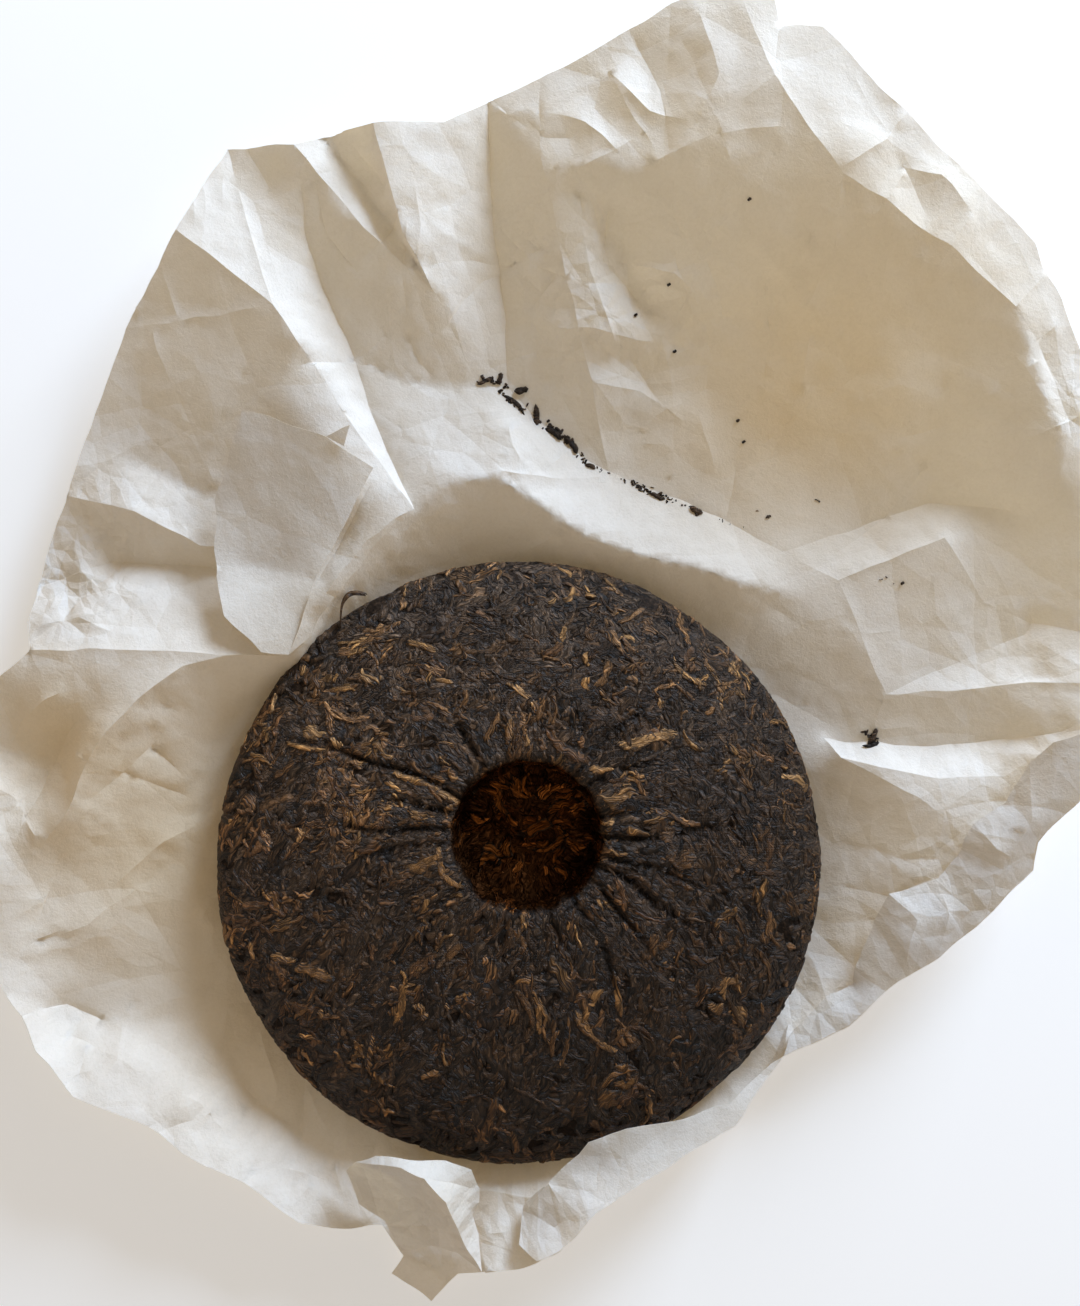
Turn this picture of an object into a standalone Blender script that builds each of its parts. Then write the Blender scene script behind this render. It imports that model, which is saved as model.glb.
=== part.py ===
"""A pressed pu erh tea cake, lying face down on its opened paper wrapper.

The cake is one turned solid whose rings shift from the cake's axis to the axis of the dimple in its
back. The wrapper is a creased sheet: its outline and its folds are lines of junctions, the facets
between them are found by a Delaunay triangulation, and the sheet gets its thickness downwards.

Units are metres, +Z is up. The origin is on the cake's axis, on the plane that the wrapper lies on.
"""

import math

import bmesh
import bpy
from mathutils import Vector
from mathutils.geometry import delaunay_2d_cdt

MM = 0.001
TURN = 2.0 * math.pi

# Tea cake: a standard 357 g cake.
CAKE_RADIUS = 100.0 * MM
CAKE_THICKNESS = 25.0 * MM
WAIST_HEIGHT = 12.0 * MM
CROWN_POWER = 4.0
FRONT_POWER = 2.4
FLAT_SPOT_RADIUS = 52.0 * MM

# Dimple pressed into the back by the knot of the steaming cloth.
DIMPLE_CENTRE = Vector((3.0 * MM, 10.5 * MM))
DIMPLE_LIP_RADIUS = 24.5 * MM
DIMPLE_FLOOR_RADIUS = 21.5 * MM
DIMPLE_DEPTH = 17.0 * MM
DIMPLE_BOWL = 2.5 * MM
LIP_ROUNDING = 2.5 * MM
WALL_POWER = 0.6

# Unevenness of a hand-pressed cake: waves round the edge as (waves a turn, height, phase).
EDGE_WAVES = ((2, 0.35 * MM, 0.6), (3, 0.30 * MM, 2.1), (7, 0.22 * MM, 4.0), (11, 0.15 * MM, 1.3))
CREASE_HALF_WIDTH = 2.6 * MM

# Creases that the cloth's gathers left, as (bearing in degrees, end of the crease from the
# dimple's axis in millimetres, depth in millimetres). They all start at the lip.
CREASES = (
    (3, 74, 1.0), (12, 50, 0.7), (29, 56, 0.9), (47, 76, 0.8), (62, 56, 0.7), (102, 50, 0.7),
    (121, 54, 0.8), (156, 80, 1.0), (166, 58, 0.8), (178, 68, 1.0), (187, 63, 0.9), (216, 42, 0.6),
    (258, 44, 0.6), (286, 46, 0.7), (303, 70, 0.8), (320, 64, 0.9), (333, 74, 1.0), (345, 67, 0.8),
)

# How finely the cake is turned.
CAKE_COLUMNS = 96
TOP_RINGS = 14
LIP_RINGS = 3
WALL_RINGS = 4
FLOOR_RINGS = 3
RING_POWER = 0.9
EDGE_WAVE_START = 0.6
FRONT_RINGS = 6

# Wrapper.
PAPER_THICKNESS = 0.8 * MM
TOUCHING_GAP = 0.3 * MM
BED_RADIUS = 98.0
BED_SIDES = 40

# A junction's place is given for paper lying at the height of the cake's waist. Paper that is
# lifted higher is drawn in towards the sheet's middle by this share for each millimetre.
SHEET_MIDDLE = (7.0, 70.0)
DRAWN_IN_PER_MM = 1.0 / 400.0
LEVEL_HEIGHT = 12.0
JOIN_DISTANCE = 1e-7

# The sheet's edge and folds as junctions (x, y, height), all in millimetres.
OUTLINE = (
    (-97, 237, 16), (-75, 240, 26), (-65, 241, 20), (-49, 247, 32), (-25, 247, 26), (-10, 253, 20),
    (7, 261, 25), (25, 270, 27), (51, 286, 31), (72, 295, 35), (84, 291, 36), (87, 278, 36),
    (101, 278, 37), (111, 269, 37), (120, 258, 37), (139, 239, 35), (154, 225, 34), (172, 206, 31),
    (176, 196, 30), (181, 187, 29), (187, 171, 28), (194, 150, 27), (197, 110, 26), (195, 75, 23),
    (196, 60, 27), (194, 45, 30), (187, 20, 27), (173, 7, 20), (172, -3, 20), (152, -22, 20),
    (140, -32, 19), (127, -40, 18), (110, -55, 16), (88, -65, 14), (72, -88, 16), (41, -107, 23),
    (27, -117, 26), (14, -130, 27), (6, -134, 26), (-11, -137, 23), (-20, -137, 15), (-29, -146, 6),
    (-42, -136, 6), (-38, -131, 11), (-45, -121, 14), (-62, -122, 17), (-73, -121, 20),
    (-90, -108, 21), (-112, -97, 24), (-126, -87, 25), (-149, -79, 28), (-162, -64, 28),
    (-172, -44, 25), (-181, -25, 26), (-186, -6, 29), (-185, 20, 25), (-182, 42, 21),
    (-174, 60, 27), (-163, 71, 28), (-163, 80, 22), (-160, 92, 14), (-156, 106, 12),
    (-150, 122, 14), (-144, 141, 12), (-130, 178, 16), (-114, 211, 28),
)

FOLDS = {
    "ring_west": ((-160, 1, 20), (-150, 17, 24), (-143, 33, 26), (-136, 44, 27), (-126, 54, 27),
                  (-112, 65, 26), (-98, 69, 25), (-77, 69, 22), (-66, 88, 21), (-50, 107, 20),
                  (-35, 118, 18)),
    "ring_north": ((-35, 118, 18), (-24, 126, 20), (-9, 129, 22), (3, 123, 21), (12, 115, 20),
                   (23, 108, 18), (40, 103, 17), (56, 99, 15), (76, 93, 13), (92, 89, 9)),
    "crumb_valley": ((-56, 170, 11), (-39, 160, 9), (-13, 158, 6), (-4, 158, 5),
                     (7, 147, 4), (19, 137, 4), (30, 130, 4), (55, 120, 4), (69, 114, 4),
                     (88, 103, 7), (106, 94, 10)),
    "pleat_edge": ((-97, 237, 16), (-82, 186, 30), (-58, 150, 28), (-35, 118, 18)),
    "pleat_corner": ((-114, 211, 28), (-82, 186, 30)),
    "pleat_west": ((-130, 178, 16), (-117, 179, 21), (-82, 186, 30)),
    "pleat_second": ((-75, 240, 26), (-70, 204, 19), (-56, 170, 11), (-45, 140, 14),
                     (-35, 118, 18)),
    "pleat_third": ((-75, 240, 26), (-52, 212, 27), (-28, 190, 19)),
    "pleat_valley": ((-65, 241, 20), (-42, 210, 18), (-28, 190, 19)),
    "pleat_fourth": ((-49, 247, 32), (-39, 210, 28), (-28, 190, 19), (-13, 158, 6), (-4, 135, 20)),
    "pleat_fifth": ((-10, 253, 20), (-9, 215, 13), (-4, 180, 8), (-4, 158, 5)),
    "pleat_sixth": ((7, 261, 25), (8, 231, 27), (12, 215, 23), (19, 183, 18), (24, 160, 12),
                    (30, 130, 4)),
    "top_first": ((25, 270, 27), (48, 233, 33)),
    "top_second": ((51, 286, 31), (48, 233, 33)),
    "panel_top": ((8, 231, 27), (48, 233, 33), (85, 262, 42), (108, 230, 41), (143, 206, 37),
                  (166, 185, 35), (176, 196, 30)),
    "panel_left": ((48, 233, 33), (34, 207, 17), (46, 178, 11), (36, 150, 6), (55, 120, 4)),
    "panel_right": ((166, 185, 35), (179, 150, 32), (181, 128, 27), (165, 117, 14),
                    (142, 108, 16), (106, 94, 10)),
    "panel_foot": ((88, 103, 7), (115, 112, 4), (136, 120, 6), (165, 117, 14)),
    "top_corner": ((72, 295, 35), (85, 262, 42), (87, 278, 36)),
    "east_facet": ((142, 108, 16), (155, 87, 11), (170, 80, 11), (195, 75, 23)),
    "east_crest": ((106, 94, 10), (112, 80, 10), (122, 56, 9), (117, 40, 4)),
    "east_hollow": ((122, 56, 9), (168, 76, 10), (170, 80, 11)),
    "east_ridge": ((122, 56, 9), (145, 57, 13), (170, 60, 17), (196, 60, 27)),
    "low_valley": ((101, 41, 2), (117, 40, 4), (140, 39, 8), (163, 41, 11), (194, 45, 30)),
    "low_ridge": ((101, 41, 2), (108, 35, 11), (120, 32, 14), (140, 28, 16), (162, 29, 18),
                  (170, 34, 20), (194, 45, 30)),
    "low_crease": ((108, 35, 11), (133, 22, 16), (148, 10, 18)),
    "turned_edge": ((170, 34, 20), (163, 20, 18), (148, 10, 18), (140, -5, 15), (124, -11, 11),
                    (119, -19, 9), (112, -36, 9), (103, -45, 8), (90, -54, 8), (88, -65, 14)),
    "front_lap": ((90, -54, 8), (78, -76, 10), (60, -92, 15), (43, -99, 18), (26, -106, 19),
                  (8, -112, 15), (-12, -110, 13), (-34, -102, 14), (-50, -106, 12)),
    "gather": ((8, -112, 15), (-2, -122, 17), (-11, -137, 23)),
    "front_valley": ((-172, -44, 25), (-150, -52, 8), (-110, -52, 4), (-97, -63, 3),
                     (-88, -80, 4), (-66, -98, 6), (-50, -106, 12), (-45, -121, 14)),
    "west_crest": ((-186, -6, 29), (-172, 0, 26), (-160, 1, 20)),
    "west_valley": ((-182, 42, 21), (-160, 33, 16), (-143, 33, 26)),
    "west_ridge": ((-163, 71, 28), (-140, 71, 28), (-112, 70, 26), (-98, 69, 25)),
    "west_hollow": ((-160, 92, 14), (-135, 100, 11), (-103, 98, 9), (-66, 88, 21)),
    "west_shoulder": ((-150, 122, 14), (-128, 117, 22), (-106, 106, 18), (-92, 104, 14)),
    "west_trough": ((-144, 141, 12), (-125, 133, 12), (-105, 122, 12), (-92, 118, 11)),
}

TEA_COLOUR = (0.026, 0.019, 0.014, 1.0)
TEA_ROUGHNESS = 0.62
PAPER_COLOUR = (0.78, 0.74, 0.66, 1.0)
PAPER_ROUGHNESS = 0.75
SHARP_ANGLE = math.radians(40.0)


def clear_scene():
    """Remove every object of the open file."""
    for thing in list(bpy.data.objects):
        bpy.data.objects.remove(thing, do_unlink=True)


def part_collection():
    """Make the collection that holds the part."""
    collection = bpy.data.collections.new("pu_erh_tea_cake")
    bpy.context.scene.collection.children.link(collection)
    return collection


def principled(name, colour, roughness):
    """Make a plain Principled material."""
    material = bpy.data.materials.new(name)
    material.use_nodes = True
    shader = material.node_tree.nodes["Principled BSDF"]
    shader.inputs["Base Color"].default_value = colour
    shader.inputs["Roughness"].default_value = roughness
    shader.inputs["Metallic"].default_value = 0.0
    material.diffuse_color = colour
    return material


def add_object(name, bm, material, collection):
    """Turn a bmesh into a named object of the part."""
    bmesh.ops.recalc_face_normals(bm, faces=bm.faces)
    mesh = bpy.data.meshes.new(name)
    bm.to_mesh(mesh)
    bm.free()
    mesh.materials.append(material)
    mesh.shade_smooth()
    mesh.set_sharp_from_angle(angle=SHARP_ANGLE)
    thing = bpy.data.objects.new(name, mesh)
    collection.objects.link(thing)
    return thing


def smooth_step(value):
    """Ease a value from 0 to 1."""
    value = min(max(value, 0.0), 1.0)
    return value * value * (3.0 - 2.0 * value)


def top_height(radius):
    """Height of the cake's back above its flat spot, before the dimple and the creases."""
    share = min(radius / CAKE_RADIUS, 1.0)
    crown = CAKE_THICKNESS - WAIST_HEIGHT
    return WAIST_HEIGHT + crown * math.sqrt(1.0 - share ** CROWN_POWER)


def front_height(radius):
    """Height of the cake's domed front above its flat spot."""
    share = max(radius - FLAT_SPOT_RADIUS, 0.0) / (CAKE_RADIUS - FLAT_SPOT_RADIUS)
    return WAIST_HEIGHT * (1.0 - math.sqrt(1.0 - min(share, 1.0) ** FRONT_POWER))


def edge_wave(bearing):
    """How far the edge stands out of the true circle at a bearing."""
    return sum(size * math.sin(count * bearing + phase) for count, size, phase in EDGE_WAVES)


def crease_depth(point):
    """Depth of the radial creases at a point of the back."""
    offset = point - DIMPLE_CENTRE
    distance = offset.length
    depth = 0.0
    for degrees, end, deepest in CREASES:
        bearing = math.radians(degrees)
        along = offset.x * math.cos(bearing) + offset.y * math.sin(bearing)
        across = abs(offset.y * math.cos(bearing) - offset.x * math.sin(bearing))
        if along <= 0.0:
            continue
        side = 1.0 - smooth_step(across / CREASE_HALF_WIDTH)
        fade = 1.0 - smooth_step((distance - DIMPLE_LIP_RADIUS) / (end * MM - DIMPLE_LIP_RADIUS))
        depth = max(depth, deepest * MM * side * fade)
    return depth


def back_ring(share):
    """Points of one ring of the back: share 0 is the dimple's lip, 1 the cake's waist."""
    eased = share ** RING_POWER
    centre = DIMPLE_CENTRE.lerp(Vector((0.0, 0.0)), smooth_step(share))
    inner = DIMPLE_LIP_RADIUS + LIP_ROUNDING
    radius = inner + (CAKE_RADIUS - inner) * eased
    points = []
    for column in range(CAKE_COLUMNS):
        bearing = TURN * column / CAKE_COLUMNS
        out = Vector((math.cos(bearing), math.sin(bearing)))
        flat = centre + out * radius
        height = top_height(min(flat.length, CAKE_RADIUS)) - crease_depth(flat)
        reach = edge_wave(bearing) * smooth_step((share - EDGE_WAVE_START) / (1.0 - EDGE_WAVE_START))
        points.append(Vector((*(flat + out * reach), height)))
    return points


def dimple_ring(radius, drop):
    """Points of one ring of the dimple, a given drop below the back round the lip."""
    lip = top_height(DIMPLE_LIP_RADIUS + LIP_ROUNDING)
    points = []
    for column in range(CAKE_COLUMNS):
        bearing = TURN * column / CAKE_COLUMNS
        out = Vector((math.cos(bearing), math.sin(bearing)))
        flat = DIMPLE_CENTRE + out * radius
        points.append(Vector((*flat, lip - drop - crease_depth(flat))))
    return points


def front_ring(share):
    """Points of one ring of the front: share 0 is the waist, 1 the edge of the flat spot."""
    radius = CAKE_RADIUS + (FLAT_SPOT_RADIUS - CAKE_RADIUS) * share
    points = []
    for column in range(CAKE_COLUMNS):
        bearing = TURN * column / CAKE_COLUMNS
        out = Vector((math.cos(bearing), math.sin(bearing)))
        flat = out * (radius + edge_wave(bearing) * (1.0 - share))
        points.append(Vector((*flat, front_height(radius))))
    return points


def waist_shares(count):
    """Shares from the lip to just inside the waist, closer together towards the waist."""
    return [math.sin(0.5 * math.pi * step / count) for step in range(count)]


def cake_rings():
    """All the cake's rings, from the dimple's floor over the back and the waist to the front."""
    rings = []
    for step in range(1, FLOOR_RINGS + 1):
        radius = DIMPLE_FLOOR_RADIUS * step / FLOOR_RINGS
        bowl = DIMPLE_BOWL * (step / FLOOR_RINGS) ** 2
        rings.append(dimple_ring(radius, DIMPLE_DEPTH - bowl))
    for step in range(1, WALL_RINGS + 1):
        share = step / WALL_RINGS
        wall_span = DIMPLE_LIP_RADIUS - DIMPLE_FLOOR_RADIUS
        radius = DIMPLE_FLOOR_RADIUS + wall_span * share ** WALL_POWER
        bottom = DIMPLE_DEPTH - DIMPLE_BOWL
        rings.append(dimple_ring(radius, bottom + (LIP_ROUNDING - bottom) * share))
    for step in range(1, LIP_RINGS):
        angle = 0.5 * math.pi * step / LIP_RINGS
        radius = DIMPLE_LIP_RADIUS + LIP_ROUNDING * (1.0 - math.cos(angle))
        rings.append(dimple_ring(radius, LIP_ROUNDING * (1.0 - math.sin(angle))))
    rings += [back_ring(share) for share in waist_shares(TOP_RINGS)]
    rings += [front_ring(1.0 - math.cos(0.5 * math.pi * step / FRONT_RINGS))
              for step in range(FRONT_RINGS + 1)]
    return rings


def build_cake(collection):
    """Model the tea cake, standing on the wrapper with the touching gap."""
    base = PAPER_THICKNESS + TOUCHING_GAP
    bm = bmesh.new()
    loops = [[bm.verts.new((p.x, p.y, p.z + base)) for p in ring] for ring in cake_rings()]
    for inner, outer in zip(loops, loops[1:]):
        for column in range(CAKE_COLUMNS):
            after = (column + 1) % CAKE_COLUMNS
            bm.faces.new((inner[column], inner[after], outer[after], outer[column]))
    floor_height = min(vert.co.z for vert in loops[0])
    centre = bm.verts.new((*DIMPLE_CENTRE, floor_height))
    for column in range(CAKE_COLUMNS):
        bm.faces.new((loops[0][column], centre, loops[0][(column + 1) % CAKE_COLUMNS]))
    bm.faces.new(loops[-1])
    material = principled("pressed_tea", TEA_COLOUR, TEA_ROUGHNESS)
    return add_object("tea_cake", bm, material, collection)


def bed_line():
    """The closed line round the flat bed that the cake lies on."""
    angles = [TURN * side / BED_SIDES for side in range(BED_SIDES)]
    line = [(BED_RADIUS * math.cos(a), BED_RADIUS * math.sin(a), 0.0) for a in angles]
    return line + line[:1]


def fold_network():
    """Gather every line's junctions once, with the pairs that the lines join."""
    junctions = []
    numbers = {}
    pairs = []
    for line in (OUTLINE + OUTLINE[:1], bed_line(), *FOLDS.values()):
        chain = []
        for junction in line:
            if junction not in numbers:
                numbers[junction] = len(junctions)
                junctions.append(junction)
            chain.append(numbers[junction])
        pairs += list(zip(chain, chain[1:]))
    return junctions, pairs


def drawn_in(x, y, height):
    """Place a junction, drawn in towards the sheet's middle where it is lifted; metres."""
    middle_x, middle_y = SHEET_MIDDLE
    scale = 1.0
    if height > 0.0:
        scale = 1.0 - (height - LEVEL_HEIGHT) * DRAWN_IN_PER_MM
    place_x = middle_x + (x - middle_x) * scale
    place_y = middle_y + (y - middle_y) * scale
    return Vector((place_x, place_y, height)) * MM


def build_wrapper(collection):
    """Model the opened wrapper as facets between its folds, thickened downwards."""
    junctions, pairs = fold_network()
    places = [drawn_in(*junction) for junction in junctions]
    flat = [place.to_2d() for place in places]
    found, _, faces, sources, _, _ = delaunay_2d_cdt(flat, pairs, [], 1, JOIN_DISTANCE)
    bm = bmesh.new()
    verts = []
    for point, source in zip(found, sources):
        verts.append(bm.verts.new((point.x, point.y, places[source[0]].z + PAPER_THICKNESS)))
    for face in faces:
        bm.faces.new([verts[number] for number in face])
    upper = list(bm.faces)
    grown = bmesh.ops.extrude_face_region(bm, geom=upper)
    lower = [item for item in grown["geom"] if isinstance(item, bmesh.types.BMVert)]
    bmesh.ops.translate(bm, verts=lower, vec=(0.0, 0.0, -PAPER_THICKNESS))
    material = principled("wrapper_paper", PAPER_COLOUR, PAPER_ROUGHNESS)
    return add_object("paper_wrapper", bm, material, collection)


def main():
    """Build the cake and its wrapper."""
    clear_scene()
    collection = part_collection()
    build_cake(collection)
    build_wrapper(collection)


main()
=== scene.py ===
"""Looks of a pressed pu erh tea cake that lies on its opened paper wrapper.

The CAD model gives the cake's size and place and the wrapper's folds. This script covers the cake
with separate pressed leaves over a relief core, and turns the wrapper's facets into thin creased
paper. Lengths are metres unless a name or comment says millimetres. Colours are linear.
"""

import math

import bpy
import numpy as np
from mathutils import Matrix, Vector
from mathutils.bvhtree import BVHTree
from mathutils.geometry import delaunay_2d_cdt
from mathutils.kdtree import KDTree


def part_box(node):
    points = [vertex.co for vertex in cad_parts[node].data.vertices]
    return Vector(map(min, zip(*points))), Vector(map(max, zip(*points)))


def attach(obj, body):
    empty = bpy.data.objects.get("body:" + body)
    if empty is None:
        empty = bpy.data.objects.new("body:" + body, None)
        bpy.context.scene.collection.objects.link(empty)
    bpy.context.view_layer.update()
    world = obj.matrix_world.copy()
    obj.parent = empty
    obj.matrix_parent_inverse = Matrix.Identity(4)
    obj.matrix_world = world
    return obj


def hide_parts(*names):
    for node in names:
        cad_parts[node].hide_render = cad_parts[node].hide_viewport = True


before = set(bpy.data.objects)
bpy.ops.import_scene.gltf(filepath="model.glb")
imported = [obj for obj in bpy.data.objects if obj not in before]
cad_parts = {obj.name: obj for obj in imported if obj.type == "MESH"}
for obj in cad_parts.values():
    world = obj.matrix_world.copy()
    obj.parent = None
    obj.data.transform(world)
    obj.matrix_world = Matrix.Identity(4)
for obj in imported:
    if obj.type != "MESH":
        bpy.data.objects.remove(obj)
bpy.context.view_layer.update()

MM = 0.001
TURN = 2.0 * math.pi
SEED = 357
LATTICE = 64
LATTICE_OFFSET = 1000.0
ABOVE = 1.0
DOWN = Vector((0.0, 0.0, -1.0))

# ---- sizes taken from the frame
CAKE_LOW, CAKE_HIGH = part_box("tea_cake")
CAKE_BASE = CAKE_LOW.z
CAKE_THICKNESS = CAKE_HIGH.z - CAKE_LOW.z

# ---- the cake's section, as in the CAD script
CAKE_RADIUS = 100.0 * MM
WAIST_HEIGHT = 12.0 * MM
CROWN_POWER = 4.0
FRONT_POWER = 2.4
FLAT_SPOT_RADIUS = 52.0 * MM
DIMPLE_X = 3.0 * MM
DIMPLE_Y = 10.5 * MM
DIMPLE_LIP_RADIUS = 24.5 * MM
DIMPLE_FLOOR_RADIUS = 21.5 * MM
DIMPLE_DEPTH = 17.0 * MM
DIMPLE_BOWL = 2.5 * MM
LIP_ROUNDING = 2.5 * MM
WALL_POWER = 0.6
LIP_EDGE_RADIUS = DIMPLE_LIP_RADIUS + LIP_ROUNDING
RING_POWER = 0.9
EDGE_WAVES = ((2, 0.35 * MM, 0.6), (3, 0.30 * MM, 2.1), (7, 0.22 * MM, 4.0), (11, 0.15 * MM, 1.3))
SECTION_STEP = 0.25 * MM
DIMPLE, BACK, FRONT = 0.0, 1.0, 2.0

# Creases left by the cloth: bearing at the lip and at the end (degrees), end (mm from the
# dimple's axis), depth (mm).
CREASES = (
    (-2, 4, 74, 1.3), (-13, -17, 67, 1.0), (-22, -32, 74, 1.4), (-34, -47, 64, 1.2),
    (-52, -62, 70, 1.0), (-76, -70, 46, 0.7), (-104, -100, 44, 0.6), (-140, -146, 42, 0.6),
    (184, 188, 63, 1.1), (176, 178, 68, 1.3), (162, 166, 58, 1.1), (149, 159, 86, 1.3),
    (124, 119, 54, 1.0), (104, 100, 48, 0.7), (66, 60, 56, 0.7), (53, 45, 76, 1.0),
    (39, 29, 56, 1.2), (15, 12, 50, 0.9),
)
CREASE_HALF_WIDTH = 1.6 * MM
CREASE_DEPTH_SHARE = 1.5
CREASE_WANDER = 0.7 * MM
WANDER_LENGTH = 5.1 * MM
WIDTH_LENGTH = 7.3 * MM
SWELL_SHARE = 0.30
BROAD_LUMP = 0.35 * MM
FINE_LUMP = 0.22 * MM


# ---- small tools
def smooth_step(values):
    """Ease values from 0 to 1."""
    values = np.clip(values, 0.0, 1.0)
    return values * values * (3.0 - 2.0 * values)


def smooth_noise(x, y, size, seed):
    """Smooth noise from -1 to 1 over the plan, with lumps of about the given size."""
    lattice = np.random.default_rng(seed).uniform(-1.0, 1.0, (LATTICE, LATTICE))
    across = np.asarray(x) / size + LATTICE_OFFSET
    up = np.asarray(y) / size + LATTICE_OFFSET
    column = np.floor(across).astype(int)
    row = np.floor(up).astype(int)
    right = smooth_step(across - column)
    above = smooth_step(up - row)

    def blend(line):
        near = lattice[column % LATTICE, line % LATTICE]
        return near * (1 - right) + lattice[(column + 1) % LATTICE, line % LATTICE] * right

    return blend(row) * (1 - above) + blend(row + 1) * above


def edge_keys(pairs):
    """One number for each edge, whichever way round its points are given."""
    pairs = np.sort(pairs, axis=1).astype(np.int64)
    return pairs[:, 0] * (1 << 32) + pairs[:, 1]


def add_object(name, data):
    """Put an object with the data into the scene."""
    made = bpy.data.objects.new(name, data)
    bpy.context.scene.collection.objects.link(made)
    return made


def piece_from_arrays(name, points, faces, material, sharp_edges=()):
    """Make a smooth-shaded piece from arrays of points and faces, and let it ride.

    Shading breaks at the sharp edges, which are pairs of point numbers.
    """
    mesh = bpy.data.meshes.new(name)
    mesh.vertices.add(len(points))
    mesh.vertices.foreach_set("co", np.ascontiguousarray(points, np.float32).ravel())
    mesh.loops.add(faces.size)
    mesh.loops.foreach_set("vertex_index", np.ascontiguousarray(faces, np.int32).ravel())
    mesh.polygons.add(len(faces))
    starts = np.arange(0, faces.size, faces.shape[1], dtype=np.int32)
    mesh.polygons.foreach_set("loop_start", starts)
    mesh.update(calc_edges=True)
    mesh.polygons.foreach_set("use_smooth", np.full(len(mesh.polygons), True))
    if len(sharp_edges):
        made = np.empty(2 * len(mesh.edges), np.int32)
        mesh.edges.foreach_get("vertices", made)
        sharp = np.isin(edge_keys(made.reshape(-1, 2)), edge_keys(np.asarray(sharp_edges)))
        mesh.edges.foreach_set("use_edge_sharp", sharp)
    mesh.materials.append(material)
    piece = add_object(name, mesh)
    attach(piece, "root")
    return piece


def store(piece, name, kind, values):
    """Store values on a piece's points for its material to read."""
    field = {"FLOAT_COLOR": "color", "FLOAT_VECTOR": "vector", "FLOAT": "value"}[kind]
    made = piece.data.attributes.new(name, kind, "POINT")
    made.data.foreach_set(field, np.ascontiguousarray(values, np.float32).ravel())


def grid_quads(steps, columns, closed=False):
    """Faces of a grid of points; a closed grid's last column joins its first."""
    row = columns if closed else columns + 1
    step, column = np.meshgrid(np.arange(steps), np.arange(columns), indexing="ij")
    start = (step * row + column).ravel()
    after = (step * row + (column + 1) % row).ravel()
    return np.stack((start, start + row, after + row, after), -1)


def repeated(faces, count, size):
    """Faces of many alike grids, each with as many points as the size says."""
    return (faces[None] + (np.arange(count) * size)[:, None, None]).reshape(-1, faces.shape[1])


# ---- the cake's surface
def top_height(radius):
    """Height of the cake's back above its flat spot."""
    share = np.minimum(radius / CAKE_RADIUS, 1.0)
    return WAIST_HEIGHT + (CAKE_THICKNESS - WAIST_HEIGHT) * np.sqrt(1.0 - share ** CROWN_POWER)


def front_height(radius):
    """Height of the cake's domed front above its flat spot."""
    share = np.maximum(radius - FLAT_SPOT_RADIUS, 0.0) / (CAKE_RADIUS - FLAT_SPOT_RADIUS)
    return WAIST_HEIGHT * (1.0 - np.sqrt(1.0 - np.minimum(share, 1.0) ** FRONT_POWER))


def cake_section():
    """Columns over even steps along the section, from the dimple's middle to the flat spot's.

    "dimple" says how much of the dimple's offset from the cake's axis a ring has.
    """
    lip = float(top_height(LIP_EDGE_RADIUS))
    bottom = DIMPLE_DEPTH - DIMPLE_BOWL
    floor = np.linspace(0.0, 1.0, 60)
    wall = floor[1:]
    lip_angle = np.linspace(0.0, 0.5 * math.pi, 30)[1:]
    back_share = np.sin(np.linspace(0.0, 0.5 * math.pi, 400))[1:]
    front_share = 1.0 - np.cos(np.linspace(0.0, 0.5 * math.pi, 200))[1:]
    back = LIP_EDGE_RADIUS + (CAKE_RADIUS - LIP_EDGE_RADIUS) * back_share
    front = CAKE_RADIUS + (FLAT_SPOT_RADIUS - CAKE_RADIUS) * front_share
    runs = (
        (DIMPLE_FLOOR_RADIUS * floor, lip - DIMPLE_DEPTH + DIMPLE_BOWL * floor ** 2, 1.0, DIMPLE),
        (DIMPLE_FLOOR_RADIUS + (DIMPLE_LIP_RADIUS - DIMPLE_FLOOR_RADIUS) * wall ** WALL_POWER,
         lip - (bottom + (LIP_ROUNDING - bottom) * wall), 1.0, DIMPLE),
        (DIMPLE_LIP_RADIUS + LIP_ROUNDING * (1.0 - np.cos(lip_angle)),
         lip - LIP_ROUNDING * (1.0 - np.sin(lip_angle)), 1.0, DIMPLE),
        (back, top_height(back), 1.0 - smooth_step(back_share ** (1.0 / RING_POWER)), BACK),
        (front, front_height(front), 0.0, FRONT),
        (FLAT_SPOT_RADIUS * np.linspace(1.0, 0.0, 100)[1:], 0.0, 0.0, FRONT),
    )
    columns = np.hstack([np.stack(np.broadcast_arrays(*run)) for run in runs])
    along = np.append(0.0, np.cumsum(np.hypot(np.diff(columns[0]), np.diff(columns[1]))))
    even = np.arange(0.0, along[-1], SECTION_STEP)
    names = ("radius", "height", "dimple", "part")
    section = {name: np.interp(even, along, column) for name, column in zip(names, columns)}
    section["even"] = even
    section["slope"] = np.gradient(section["radius"], SECTION_STEP)
    return section


SECTION = cake_section()
SECTION_LENGTH = SECTION["even"][-1]


def section_at(along, what):
    """Read one column of the section at distances along it."""
    return np.interp(along, SECTION["even"], SECTION[what])


def along_at_radius(radius, part):
    """Distance along the section where the back or the front has a radius."""
    gaps = np.abs(SECTION["radius"] - radius)
    gaps = np.where(np.abs(SECTION["part"] - part) < 0.01, gaps, np.inf)
    return float(SECTION["even"][int(np.argmin(gaps))])


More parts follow.
